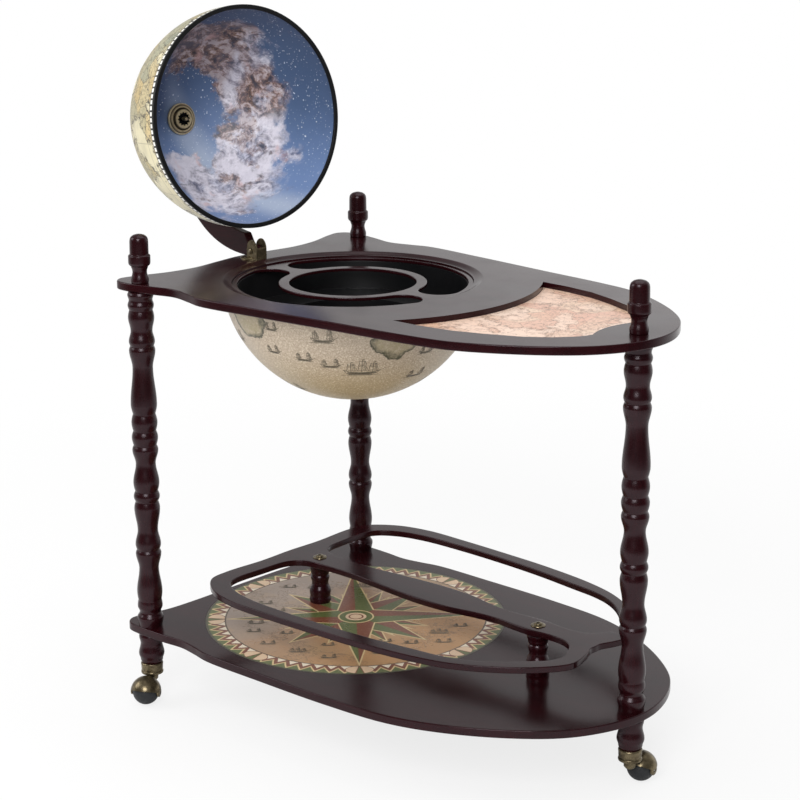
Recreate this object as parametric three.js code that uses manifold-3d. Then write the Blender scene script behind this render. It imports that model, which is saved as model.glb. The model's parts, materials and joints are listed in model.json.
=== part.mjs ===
// Floor globe bar: a three-legged drinks table on ball casters, with a globe that opens over a glass rack
// and a lower shelf with a rail for bottles. Lengths are millimetres and +Z is up.
// X runs along the table from its wide end to its narrow end, and the wide end's legs stand on x = 0
// until the whole table is moved so that the origin lies on the floor under the middle of its box.
import * as THREE from "three";
import { mergeVertices } from "three/addons/utils/BufferGeometryUtils.js";
import Module from "manifold-3d";

const wasm = await Module();
wasm.setup();

// Driving dimensions of the table
const tableTopHeight = 632; // floor to the tabletop's upper face
const shelfTopHeight = 114; // floor to the shelf's upper face
const boardThickness = 12;
const boardEdgeRound = 1.6;
const legSpread = 452; // between the axes of the two wide-end legs
const legReach = 714; // from the wide-end legs to the narrow-end leg
const originAhead = 260; // the origin lies this far ahead of the wide-end legs
const seatGap = 0.3; // clearance round pins and between curved neighbours
const overrun = 2; // how far a cutter runs past a face

// Boards
const tabletopOverhang = 34; // the narrow tip beyond the narrow leg
const tabletopHalfWidth = 242;
const shelfOverhang = 23;
const shelfHalfWidth = 252;

// Turned legs
const postRadius = 19.3;
const finialHeight = 71;
const finialRadius = 15.9;
const footEndHeight = 56; // floor to the shoulder of the foot on its caster cup
const footRadius = 18.9;
const hangerBoltRadius = 4;
const hangerBoltReach = 24; // how far a hanger bolt reaches into each turning

// Casters
const ballRadius = 19.5;
const ballBoreRadius = 2.3;
const hoodWall = 2;
const hoodGap = 1.2; // between the ball and the hood
const hoodBrow = 1.5; // the hood's edge above the ball's centre
const hoodBossRadius = 9;
const casterTrail = 27; // swivel axis to ball centre
const ferruleRadius = 16.5;
const ferruleBottom = 39;
const swivelPinRadius = 4;
const swivelPinTop = 52;
const axleRadius = 2;

// Globe
const globeCentreX = 204;
const bowlRadius = 190;
const bowlCentreRise = 15; // above the tabletop's upper face
const shellWall = 3.5;
const coveRadius = 188; // where the routed cove starts on the tabletop
const openingRadius = 174.3;
const coveDepth = 4;
const ringInnerRadius = 168.5;
const ringOuterRadius = 180.3;
const ringHeight = 12;
const trayFlangeThickness = 1.5;
const trayWall = 2;
const troughDepth = 44;
const troughOuterRadius = 165;
const wellRadius = 97;
const wellDepth = 100;
const wellLip = 4; // how far the well's lip reaches under the trough's floor
const wellLipThickness = 1.5;
const plateThickness = 4.5;
const bottleHoleRadius = 91.7;
const slotInnerRadius = 107;
const slotOuterRadius = 166.5;
const slotEndAngle = 17; // degrees from the long axis to the centre of a slot's round end

// Lid, described closed
const lidRimRadius = 164.5;
const linerThickness = 1.2;
const lidRingOuterRadius = 166.5;
const lidRingInnerRadius = 157.5;
const lidRingHeight = 4;
const lidSeatGap = 0.5;
const armThickness = 17; // measured towards the pole
const armWidth = 13;
const armPoleGap = 2; // between dome and arm at the pole
const polePinRadius = 3;
const poleFlangeRadius = 24.5;
const poleFlangeHeight = 8;
const poleKnobHeight = 15;

// Hinge
const hingePinX = 4;
const hingePinRise = 13; // above the tabletop's upper face
const hingePinRadius = 3;
const hingeBaseRadius = 17;
const hingeBaseThickness = 2.5;
const forkGapHalf = 8.4;
const forkCheek = 2;
const forkHalfLength = 9;
const lidOpenAngle = 97.8; // degrees from closed to the stop, which is the rest pose
const hingeYaw = 4.0; // degrees that the pin turns in plan, so the open lid faces the table's front side
const hingeRoll = 4.4; // degrees that the pin leans, for the same reason

// Map panel bed
const panelArcRadius = 274; // concentric with the globe
const panelThickness = 1.2;
const panelVisibleDepth = 8;
const panelBaySetback = 50; // the bay's deepest point behind the narrow leg
const panelBayRadius = 108;
const panelBayHalf = 25; // degrees
const panelArcEndShare = 0.654; // of the tabletop's half width, where the arc ends

// Shelf medallion and bottle rail
const medallionRadius = 224;
const medallionThickness = 1;
const railRise = 70; // the shelf's upper face to the rail's
const railThickness = 9;
const railEndX = 60; // outer edge of the wide-end bar
const railTipSetback = 64; // the bottom of its narrow bay behind the narrow leg
const railHalfWidth = 212;
const railCentreY = 4; // the frame sits a little to the rear
const centreBarY = 12;
const standoffRadius = 16.5;
const standoffWideX = 118;
const standoffNarrowInset = 107; // from the bottom of the rail's narrow bay

const turnSides = 9;
const cupSides = 10;
const ballSides = 12;
const shellSides = 28;

const deg = Math.PI / 180;
const halfSpread = legSpread / 2;
const tabletopTip = legReach + tabletopOverhang;
const shelfTip = legReach + shelfOverhang;
const panelBayX = legReach - panelBaySetback;
const railTipX = legReach - railTipSetback;
const standoffNarrowX = railTipX - standoffNarrowInset;
const tableUnderHeight = tableTopHeight - boardThickness;
const shelfUnderHeight = shelfTopHeight - boardThickness;
const railTopHeight = shelfTopHeight + railRise;
const bowlCentreHeight = tableTopHeight + bowlCentreRise;
const hingePinHeight = tableTopHeight + hingePinRise;
const plateBottom = tableUnderHeight + trayFlangeThickness;
const plateTop = plateBottom + plateThickness;
const lidRimHeight = plateTop + lidSeatGap + lidRingHeight;
const armRadius = Math.hypot(globeCentreX - hingePinX, hingePinHeight - lidRimHeight);
const lidDepth = armRadius - armThickness / 2 - armPoleGap;

const legs = [
  { name: "left", x: 0, y: -halfSpread, heading: -63 },
  { name: "rear", x: 0, y: halfSpread, heading: 62 },
  { name: "narrow", x: legReach, y: 0, heading: 93 },
];

// Materials
const finish = (color, roughness, metalness) =>
  new THREE.MeshStandardMaterial({ color, roughness, metalness });
const mahogany = finish(0x3a1418, 0.35, 0);
const darkWood = finish(0x2a1012, 0.4, 0);
const agedBrass = finish(0x8a7443, 0.38, 1);
const steel = finish(0x9a9a9e, 0.35, 1);
const blackRubber = finish(0x191b1d, 0.6, 0);
const blackPlastic = finish(0x121214, 0.45, 0);
const printedCream = finish(0xd9cfa6, 0.5, 0);
const starSky = finish(0x44598c, 0.5, 0);
const printedSand = finish(0xd9b48a, 0.5, 0);

// A closed geometry as a manifold solid
function toSolid(geometry) {
  const bare = geometry.index ? geometry.toNonIndexed() : geometry.clone();
  bare.deleteAttribute("normal");
  bare.deleteAttribute("uv");
  const merged = mergeVertices(bare, 1e-4);
  return new wasm.Manifold(
    new wasm.Mesh({
      numProp: 3,
      vertProperties: new Float32Array(merged.attributes.position.array),
      triVerts: new Uint32Array(merged.index.array),
    }),
  );
}

function toGeometry(solid) {
  const mesh = solid.getMesh();
  const geometry = new THREE.BufferGeometry();
  geometry.setAttribute("position", new THREE.BufferAttribute(mesh.vertProperties, 3));
  geometry.setIndex(new THREE.BufferAttribute(mesh.triVerts, 1));
  return geometry;
}

function cut(geometry, ...cutters) {
  return toGeometry(cutters.reduce((solid, cutter) => solid.subtract(toSolid(cutter)), toSolid(geometry)));
}

// A turned body about Z from [radius, height] pairs, listed from the top down
function turned(profile, sides = turnSides) {
  const points = profile.map(([radius, height]) => new THREE.Vector2(radius, height));
  return new THREE.LatheGeometry(points, sides).rotateX(Math.PI / 2);
}

function rod(radius, bottom, top, sides = turnSides) {
  return turned([[0, bottom], [radius, bottom], [radius, top], [0, top]], sides);
}

// A flat piece with rounded edges from an outline in plan
function board(shape, bottom, thickness, edge = 0, steps = 12) {
  const geometry = new THREE.ExtrudeGeometry(shape, {
    depth: thickness - edge - edge,
    bevelEnabled: edge > 0,
    bevelThickness: edge,
    bevelSize: edge,
    bevelOffset: -edge,
    bevelSegments: 1,
    curveSegments: steps,
  });
  return geometry.translate(0, 0, bottom + edge);
}

function arcPoints(centreX, centreY, radius, from, to, steps) {
  const points = [];
  for (let i = 0; i <= steps; i++) {
    const angle = (from + ((to - from) * i) / steps) * deg;
    points.push(new THREE.Vector2(centreX + radius * Math.cos(angle), centreY + radius * Math.sin(angle)));
  }
  return points;
}

function circlePoints(centreX, centreY, radius, sides) {
  return arcPoints(centreX, centreY, radius, 0, 360 * (1 - 1 / sides), sides - 1);
}

const group = new THREE.Group();

function add(name, geometry, material, parent = group) {
  const mesh = new THREE.Mesh(geometry, material);
  mesh.name = name;
  parent.add(mesh);
  return mesh;
}

// Outlines of the boards: a smooth curve through half of the points, mirrored over the long axis.
// Each pair is a share of the tip's distance from the wide-end legs and a share of the half width.
const tabletopHalfShares = [
  [-0.043, 0], [-0.036, 0.2], [-0.027, 0.42], [-0.034, 0.62], [-0.056, 0.83], [-0.061, 0.93],
  [-0.048, 0.985], [-0.02, 1], [0.04, 0.967], [0.094, 0.93], [0.145, 0.962], [0.185, 0.992],
  [0.32, 0.963], [0.52, 0.902], [0.66, 0.862], [0.745, 0.815], [0.82, 0.71], [0.9, 0.547],
  [0.955, 0.38], [0.99, 0.18], [1, 0],
];
const shelfHalfShares = [
  [-0.039, 0], [-0.039, 0.2], [-0.038, 0.42], [-0.042, 0.66], [-0.058, 0.84], [-0.058, 0.9],
  [-0.044, 0.95], [-0.01, 0.968], [0.06, 0.964], [0.11, 0.952], [0.156, 0.972], [0.2, 0.998],
  [0.34, 1], [0.52, 0.99], [0.66, 0.95], [0.76, 0.85], [0.865, 0.67], [0.942, 0.465],
  [0.985, 0.23], [1, 0],
];

function mirroredOutline(shares, length, halfWidth, steps) {
  const half = shares.map(([x, y]) => new THREE.Vector2(x * length, y * halfWidth));
  const mirrored = half.slice(1, -1).reverse().map((p) => new THREE.Vector2(p.x, -p.y));
  const loop = [...half, ...mirrored].map((p) => new THREE.Vector3(p.x, p.y, 0));
  const curve = new THREE.CatmullRomCurve3(loop, true, "centripetal");
  const points = curve.getSpacedPoints(steps).slice(0, -1);
  return new THREE.Shape(points.map((p) => new THREE.Vector2(p.x, -p.y)));
}

// The bed of the map panel: an arc round the globe, two sides that follow the board, and a bay round the leg.
// Each pair is a share of the way from the arc's end to the leg and a share of the tabletop's half width.
const panelSideShares = [
  [0.152, 0.649], [0.327, 0.62], [0.484, 0.558], [0.647, 0.475], [0.758, 0.38], [0.826, 0.285], [0.851, 0.235],
];

// A closed outline moved inwards by a distance, corner by corner
function insetOutline(points, distance) {
  return points.map((point, index) => {
    const before = points[(index + points.length - 1) % points.length];
    const after = points[(index + 1) % points.length];
    const into = point.clone().sub(before).normalize();
    const away = after.clone().sub(point).normalize();
    const bend = 1 + into.dot(away);
    const normal = new THREE.Vector2(-(into.y + away.y), into.x + away.x).divideScalar(bend);
    return point.clone().addScaledVector(normal, distance);
  });
}

function panelShape(inset) {
  const arcHalf = Math.asin((panelArcEndShare * tabletopHalfWidth) / panelArcRadius) / deg;
  const arc = arcPoints(globeCentreX, 0, panelArcRadius, arcHalf, -arcHalf, 12);
  const arcEnd = arc[0].x;
  const side = panelSideShares.map(
    ([x, y]) => new THREE.Vector2(arcEnd + x * (legReach - arcEnd), y * tabletopHalfWidth),
  );
  const bayCentre = panelBayX + panelBayRadius;
  const bay = arcPoints(bayCentre, 0, panelBayRadius, 180 + panelBayHalf, 180 - panelBayHalf, 6);
  const front = side.map((p) => new THREE.Vector2(p.x, -p.y));
  return new THREE.Shape(insetOutline([...arc, ...front, ...bay, ...side.reverse()], inset));
}

function ringCutter(outerRadius, innerRadius, top, depth) {
  const steps = 2;
  const dish = [];
  for (let i = 0; i <= steps; i++) {
    const share = i / steps;
    const radius = outerRadius + (innerRadius - outerRadius) * share;
    dish.push([radius, top - depth * Math.sin((share * Math.PI) / 2) ** 1.5]);
  }
  const above = top + overrun;
  return turned([[0, top - depth], ...dish.reverse(), [outerRadius, above], [0, above]], shellSides);
}

function boltHoles(bottom, top) {
  return legs.map((leg) => rod(hangerBoltRadius + seatGap, bottom, top).translate(leg.x, leg.y, 0));
}

function makeTabletop() {
  const outline = mirroredOutline(tabletopHalfShares, tabletopTip, tabletopHalfWidth, 48);
  const blank = board(outline, tableUnderHeight, boardThickness, boardEdgeRound);
  const opening = rod(openingRadius, tableUnderHeight - overrun, tableTopHeight + overrun, shellSides);
  const cove = ringCutter(coveRadius, openingRadius, tableTopHeight, coveDepth);
  const bedDepth = panelVisibleDepth + panelThickness;
  const bed = board(panelShape(0), tableTopHeight - bedDepth, bedDepth + overrun);
  opening.translate(globeCentreX, 0, 0);
  cove.translate(globeCentreX, 0, 0);
  const holes = boltHoles(tableUnderHeight - overrun, tableTopHeight + overrun);
  add("tabletop", cut(blank, opening, cove, bed, ...holes), mahogany);
  const panelBottom = tableTopHeight - bedDepth;
  add("map_panel", board(panelShape(seatGap), panelBottom, panelThickness), printedSand);
}

function makeShelf() {
  const outline = mirroredOutline(shelfHalfShares, shelfTip, shelfHalfWidth, 40);
  const blank = board(outline, shelfUnderHeight, boardThickness, boardEdgeRound);
  const medallionBottom = shelfTopHeight - medallionThickness;
  const bed = rod(medallionRadius + seatGap, medallionBottom, shelfTopHeight + overrun, shellSides);
  bed.translate(globeCentreX, 0, 0);
  const holes = boltHoles(shelfUnderHeight - overrun, shelfTopHeight + overrun);
  const screwBore = standoffScrewRadius + seatGap;
  const standoffPlaces = [standoffWideX, standoffNarrowX];
  const screwHoles = standoffPlaces.map((x) =>
    rod(screwBore, shelfUnderHeight - overrun, shelfTopHeight + overrun, 8).translate(x, centreBarY, 0),
  );
  const sinks = standoffPlaces.map((x) => screwHeadCutter().translate(x, centreBarY, 0));
  add("lower_shelf", cut(blank, bed, ...holes, ...screwHoles, ...sinks), mahogany);
  const disc = rod(medallionRadius, medallionBottom, shelfTopHeight, shellSides);
  disc.translate(globeCentreX, 0, 0);
  add("shelf_medallion", cut(disc, ...screwHoles), printedSand);
}

// Turned profiles: heights as shares of the piece's height from its foot, radii as shares of its greatest radius.
// A station is a peak, a round neck or a sharp cut.
const postStationShares = [
  [0.026, 1, "peak"], [0.0435, 0.81, "neck"], [0.061, 0.953, "peak"], [0.08, 0.886, "cut"],
  [0.106, 0.964, "peak"], [0.177, 0.746, "neck"], [0.222, 0.969, "peak"], [0.2335, 0.86, "cut"],
  [0.2495, 0.964, "peak"], [0.293, 0.767, "neck"], [0.358, 0.974, "peak"], [0.38, 0.855, "cut"],
  [0.3945, 0.984, "peak"], [0.4105, 0.86, "cut"], [0.4365, 0.979, "peak"], [0.493, 0.751, "neck"],
  [0.534, 0.974, "peak"], [0.548, 0.86, "cut"], [0.5715, 0.984, "peak"], [0.5905, 0.855, "cut"],
  [0.615, 0.974, "peak"], [0.641, 0.839, "cut"], [0.67, 0.984, "peak"], [0.7775, 0.762, "neck"],
  [0.828, 0.979, "peak"], [0.841, 0.876, "cut"], [0.8545, 0.969, "peak"], [0.885, 0.813, "neck"],
  [0.924, 0.974, "peak"], [0.946, 0.87, "cut"], [0.96, 0.974, "peak"], [0.975, 0.881, "neck"],
  [0.99, 0.974, "peak"],
];

// Points of a turned outline through its stations, from the foot up
function turning(stations, bottom, height, radius, curveSpan = 0.072) {
  const points = [];
  stations.forEach(([z, r, kind], index) => {
    const next = stations[index + 1];
    points.push([r * radius, bottom + z * height]);
    if (!next) return;
    const steps = next[0] - z > curveSpan ? 2 : 1;
    const valley = kind === "peak" ? next[2] : kind;
    for (let i = 1; i < steps; i++) {
      const along = i / steps;
      const rise = kind === "peak" ? 1 - along : along;
      const share = valley === "cut" ? Math.sin((rise * Math.PI) / 2) : (1 - Math.cos(rise * Math.PI)) / 2;
      const low = Math.min(r, next[1]);
      const high = Math.max(r, next[1]);
      points.push([(low + (high - low) * share) * radius, bottom + (z + (next[0] - z) * along) * height]);
    }
  });
  return points;
}

// A turning with a blind bore for a hanger bolt in its foot, its top or both
function boredTurning(outline, bottom, top, boreBottom, boreTop) {
  const bore = hangerBoltRadius + seatGap;
  const depth = hangerBoltReach + seatGap;
  const first = outline[0];
  const last = outline[outline.length - 1];
  const low = boreBottom ? [[0, bottom + depth], [bore, bottom + depth], [bore, bottom]] : [[0, bottom]];
  const high = boreTop ? [[bore, top], [bore, top - depth], [0, top - depth]] : [[0, top]];
  return turned([...low, [first[0], bottom], ...outline, [last[0], top], ...high]);
}

const finialStationShares = [
  [0.1, 0.79, "peak"], [0.22, 0.65, "neck"], [0.3, 0.72, "peak"], [0.352, 0.8, "peak"],
  [0.42, 1, "peak"], [0.565, 1, "peak"], [0.592, 0.845, "cut"], [0.85, 0.84, "peak"],
  [0.95, 0.66, "peak"],
];
const footStationShares = [
  [0, 0.76, "peak"], [0.1, 0.87, "peak"], [0.32, 1, "peak"], [0.66, 0.85, "neck"], [0.9, 0.95, "peak"],
];

function makeLegs() {
  const postHeight = tableUnderHeight - shelfTopHeight;
  const cupRadius = ferruleRadius - ferruleWall;
  const footTenonRadius = cupRadius * Math.cos(Math.PI / cupSides) - seatGap;
  const boltLength = boardThickness + hangerBoltReach + hangerBoltReach;
  for (const leg of legs) {
    const place = (mesh) => mesh.position.set(leg.x, leg.y, 0);
    const postOutline = turning(postStationShares, shelfTopHeight, postHeight, postRadius);
    const post = boredTurning(postOutline, shelfTopHeight, tableUnderHeight, true, true);
    place(add("post_" + leg.name, post, mahogany));

    const finialTop = tableTopHeight + finialHeight;
    const finialOutline = turning(finialStationShares, tableTopHeight, finialHeight, finialRadius, 1);
    const finialLow = hangerBoltReach + seatGap;
    const bore = hangerBoltRadius + seatGap;
    const finial = turned([
      [0, tableTopHeight + finialLow], [bore, tableTopHeight + finialLow], [bore, tableTopHeight],
      [finialOutline[0][0], tableTopHeight], ...finialOutline, [0, finialTop],
    ]);
    place(add("finial_" + leg.name, finial, mahogany));

    const footHeight = shelfUnderHeight - footEndHeight;
    const footOutline = turning(footStationShares, footEndHeight, footHeight, footRadius, 0.2);
    const pinBore = swivelPinRadius + seatGap;
    const tenonBottom = ferruleCupFloor + seatGap;
    const footHeadRadius = footOutline[footOutline.length - 1][0];
    const pinBoreTop = swivelPinTop + seatGap;
    const foot = turned([
      [0, pinBoreTop], [pinBore, pinBoreTop], [pinBore, tenonBottom], [footTenonRadius, tenonBottom],
      [footTenonRadius, footEndHeight], ...footOutline, [footHeadRadius, shelfUnderHeight],
      [bore, shelfUnderHeight], [bore, shelfUnderHeight - finialLow], [0, shelfUnderHeight - finialLow],
    ]);
    place(add("foot_" + leg.name, foot, mahogany));

    for (const [board, under] of [["top", tableUnderHeight], ["shelf", shelfUnderHeight]]) {
      const boltBottom = under - hangerBoltReach;
      const bolt = rod(hangerBoltRadius, boltBottom, boltBottom + boltLength, 8);
      place(add(board + "_bolt_" + leg.name, bolt, steel));
    }
  }
}

// Ball casters. In each one's own frame the swivel stands on the origin and the ball trails along +X.
const ferruleWall = 3.2;
const ferruleCupFloor = 47;
const ferruleBead = 1.2;

function ferruleGeometry() {
  const cup = ferruleRadius - ferruleWall;
  const bore = swivelPinRadius + seatGap;
  const step = (footEndHeight - ferruleBottom) / 8;
  const at = (count) => ferruleBottom + step * count;
  const waist = ferruleRadius - ferruleBead;
  return turned([
    [bore, ferruleBottom], [waist, at(0)], [ferruleRadius, at(1)], [ferruleRadius, at(7)],
    [waist, at(8)], [cup, footEndHeight],
    [cup, ferruleCupFloor], [bore, ferruleCupFloor], [bore, ferruleBottom],
  ], cupSides);
}

function sphere(radius, wide, high) {
  return new THREE.SphereGeometry(radius, wide, high).rotateX(Math.PI / 2);
}

function hoodGeometry() {
  const inner = ballRadius + hoodGap;
  const outer = inner + hoodWall;
  const earRadius = hoodWall * 4;
  const ball = toSolid(sphere(outer, ballSides, ballSides / 2));
  const span = outer * 3;
  const upper = toSolid(new THREE.BoxGeometry(span, span, outer).translate(0, 0, outer / 2 + hoodBrow));
  const ear = toSolid(new THREE.CylinderGeometry(earRadius, earRadius, span, 10));
  const neckHeight = hoodBrow + earRadius;
  const neck = toSolid(new THREE.BoxGeometry(earRadius * 2, span, neckHeight).translate(0, 0, neckHeight / 2));
  const hole = toSolid(new THREE.CylinderGeometry(axleRadius, axleRadius, span, 8));
  const stemSpan = hoodStemSpan();
  const atSwivel = (radius, bottom, top, sides) =>
    toSolid(rod(radius, bottom, top, sides).translate(-casterTrail, 0, 0));
  const boss = atSwivel(hoodBossRadius, stemSpan.bossBottom, stemSpan.bossTop, 12);
  const pin = atSwivel(swivelPinRadius, stemSpan.bossTop - overrun, stemSpan.pinTop, 8);
  const cupRoom = atSwivel(ferruleRadius + seatGap, stemSpan.bossTop, stemSpan.pinTop + outer, 12);
  const shell = ball.intersect(upper.add(ear).add(neck)).add(boss).subtract(cupRoom);
  const hood = shell.subtract(toSolid(sphere(inner, ballSides, ballSides / 2))).subtract(hole).add(pin);
  return toGeometry(hood).translate(casterTrail, 0, ballRadius);
}

// Heights of the hood's boss and stem, measured from the ball's centre
function hoodStemSpan() {
  return {
    bossBottom: ferruleBottom - hoodBossRadius - ballRadius,
    bossTop: ferruleBottom - seatGap - ballRadius,
    pinTop: swivelPinTop - ballRadius,
  };
}

function ballGeometry() {
  const steps = 6;
  const start = Math.asin(ballBoreRadius / ballRadius);
  const points = [];
  for (let i = 0; i <= steps; i++) {
    const angle = start + ((Math.PI - 2 * start) * i) / steps;
    points.push([ballRadius * Math.sin(angle), -ballRadius * Math.cos(angle)]);
  }
  return turned([...points, points[0]], ballSides).rotateX(Math.PI / 2).translate(casterTrail, 0, ballRadius);
}

function makeCasters() {
  const axleHalf = ballRadius + hoodGap + hoodWall / 2;
  for (const leg of legs) {
    const caster = new THREE.Group();
    caster.position.set(leg.x, leg.y, 0);
    caster.rotation.z = leg.heading * deg;
    group.add(caster);
    add("caster_ferrule_" + leg.name, ferruleGeometry(), agedBrass, caster);
    add("caster_hood_" + leg.name, hoodGeometry(), agedBrass, caster);
    const axle = rod(axleRadius - seatGap, -axleHalf, axleHalf, 8).rotateX(Math.PI / 2);
    add("caster_axle_" + leg.name, axle.translate(casterTrail, 0, ballRadius), steel, caster);
    add("caster_ball_" + leg.name, ballGeometry(), blackRubber, caster);
  }
}

// Bottle rail: a flat frame in plan with two windows either side of a waved centre bar.
// Each pair is a share of the rail's length and a share of its half width.
const railOuterShares = [
  [0, 0], [0.003, 0.283], [-0.003, 0.613], [0.007, 0.778], [0.071, 0.93], [0.164, 1], [0.29, 1.004],
  [0.44, 0.99], [0.58, 0.967], [0.736, 0.906], [0.834, 0.82], [0.937, 0.64], [0.998, 0.47],
  [1.024, 0.34], [1.025, 0.274], [1.014, 0.15], [1.0, 0.05], [1, 0],
];
const railWindowShares = [
  [0.983, 0.264], [0.975, 0.377], [0.939, 0.49], [0.888, 0.632], [0.836, 0.726], [0.781, 0.778],
  [0.702, 0.811], [0.58, 0.858], [0.44, 0.887], [0.305, 0.896], [0.186, 0.882], [0.11, 0.83],
  [0.064, 0.745], [0.051, 0.66], [0.051, 0.42],
];
// Half the width of the centre bar, from the wide end to the narrow end
const railBarShares = [
  [0.059, 0.21], [0.088, 0.127], [0.153, 0.1], [0.237, 0.094], [0.322, 0.113], [0.407, 0.137], [0.49, 0.15],
  [0.576, 0.137], [0.644, 0.1], [0.712, 0.08], [0.771, 0.094], [0.819, 0.1], [0.864, 0.083],
  [0.907, 0.085], [0.936, 0.113], [0.958, 0.165], [0.971, 0.235],
];

function railPoint([x, y], side, centreY) {
  return new THREE.Vector3(railEndX + x * (railTipX - railEndX), centreY + side * y * railHalfWidth, 0);
}

function closedCurve(points, steps) {
  const curve = new THREE.CatmullRomCurve3(points, true, "centripetal");
  return curve.getSpacedPoints(steps).slice(0, -1).map((p) => new THREE.Vector2(p.x, p.y));
}

function makeRail() {
  const half = railOuterShares.map((share) => railPoint(share, -1, railCentreY));
  const other = railOuterShares.slice(1, -1).reverse().map((share) => railPoint(share, 1, railCentreY));
  const shape = new THREE.Shape(closedCurve([...half, ...other], 42));
  for (const side of [1, -1]) {
    const loop = [
      ...railWindowShares.map((share) => railPoint(share, side, railCentreY)),
      ...railBarShares.map((share) => railPoint(share, side, centreBarY)),
    ];
    shape.holes.push(new THREE.Path(closedCurve(loop, 30)));
  }
  const railBottom = railTopHeight - railThickness;
  const places = { wide: standoffWideX, narrow: standoffNarrowX };
  const bore = railScrewRadius + seatGap;
  const holes = Object.values(places).map((x) =>
    rod(bore, railBottom - overrun, railTopHeight + overrun).translate(x, centreBarY, 0),
  );
  add("bottle_rail", cut(board(shape, railBottom, railThickness), ...holes), mahogany);

  const height = railBottom - shelfTopHeight;
  const railScrewReach = height * railScrewReachShare;
  const standoffScrewReach = height * standoffScrewReachShare;
  const boreDepth = railScrewReach + seatGap;
  const screwBore = standoffScrewRadius + seatGap;
  const screwDepth = standoffScrewReach + seatGap;
  for (const [name, x] of Object.entries(places)) {
    const outline = turning(standoffStationShares, shelfTopHeight, height, standoffRadius, 0.19);
    const standoff = turned([
      [0, shelfTopHeight + screwDepth], [screwBore, shelfTopHeight + screwDepth], [screwBore, shelfTopHeight],
      [outline[0][0], shelfTopHeight], ...outline, [outline[outline.length - 1][0], railBottom],
      [bore, railBottom], [bore, railBottom - boreDepth], [0, railBottom - boreDepth],
    ]);
    add("rail_standoff_" + name, standoff.translate(x, centreBarY, 0), mahogany);
    const screwTop = railTopHeight + railScrewCollarHeight + railScrewHeadHeight;
    const screw = turned([
      [0, railBottom - railScrewReach], [railScrewRadius, railBottom - railScrewReach],
      [railScrewRadius, railTopHeight], [railScrewCollarRadius, railTopHeight],
      [railScrewCollarRadius, railTopHeight + railScrewCollarHeight],
      [railScrewHeadRadius, railTopHeight + railScrewCollarHeight],
      [railScrewHeadRadius, screwTop - railScrewHeadRound],
      [railScrewHeadRadius - railScrewHeadRound, screwTop],
      [0, screwTop],
    ], 10);
    add("rail_screw_" + name, screw.translate(x, centreBarY, 0), agedBrass);
    const headRadius = standoffScrewHeadRadius;
    const woodScrew = turned([
      [0, shelfUnderHeight], [headRadius, shelfUnderHeight],
      [standoffScrewRadius, shelfUnderHeight + headRadius - standoffScrewRadius],
      [standoffScrewRadius, shelfTopHeight + standoffScrewReach], [0, shelfTopHeight + standoffScrewReach],
    ], 8);
    add("standoff_screw_" + name, woodScrew.translate(x, centreBarY, 0), steel);
  }
}

const railScrewRadius = 3;
const railScrewReachShare = 0.4; // of the standoff's height, as the next share is
const railScrewCollarRadius = 10.5;
const railScrewCollarHeight = 1.4;
const railScrewHeadRadius = 6;
const railScrewHeadHeight = 2.6;
const railScrewHeadRound = 1.2;
const standoffScrewRadius = 2.2;
const standoffScrewReachShare = 0.36;
const standoffScrewHeadRadius = 4.4;
const standoffStationShares = [
  [0.08, 1, "peak"], [0.16, 0.93, "cut"], [0.3, 0.98, "peak"], [0.5, 0.76, "neck"], [0.66, 0.87, "peak"],
  [0.72, 0.78, "cut"], [0.8, 0.87, "peak"], [0.93, 0.98, "peak"],
];

function screwHeadCutter() {
  const headRadius = standoffScrewHeadRadius + seatGap;
  const bore = standoffScrewRadius + seatGap;
  return turned([
    [0, shelfUnderHeight - overrun], [headRadius, shelfUnderHeight - overrun], [headRadius, shelfUnderHeight],
    [bore, shelfUnderHeight + headRadius - bore], [0, shelfUnderHeight + headRadius - bore],
  ], 8);
}

// Part of a shell of revolution between two radii, as [radius, height] pairs from the rim to the pole
function shellArc(radius, depth, fromShare, toRadius, steps) {
  const end = Math.acos(toRadius / radius);
  const start = Math.asin(fromShare);
  const points = [];
  for (let i = 0; i <= steps; i++) {
    const angle = start + ((end - start) * i) / steps;
    points.push([radius * Math.cos(angle), depth * Math.sin(angle)]);
  }
  return points;
}

// Height of a shell's faceted outline at a radius
function heightAt(points, radius) {
  const next = points.findIndex((point) => point[0] <= radius);
  const [outerPoint, innerPoint] = [points[next - 1], points[next]];
  const share = (outerPoint[0] - radius) / (outerPoint[0] - innerPoint[0]);
  return outerPoint[1] + (innerPoint[1] - outerPoint[1]) * share;
}

// Lower globe: bowl, carrying ring with its screws, black ring tray, the well bonded under it by its lip,
// and the plate with holes
const ringScrewCount = 3;
const ringScrewRadius = 1.8;
const ringScrewHeadRadius = 2.8;
const ringScrewHeadHeight = 1.6;
const ringScrewReach = 8;

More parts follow.
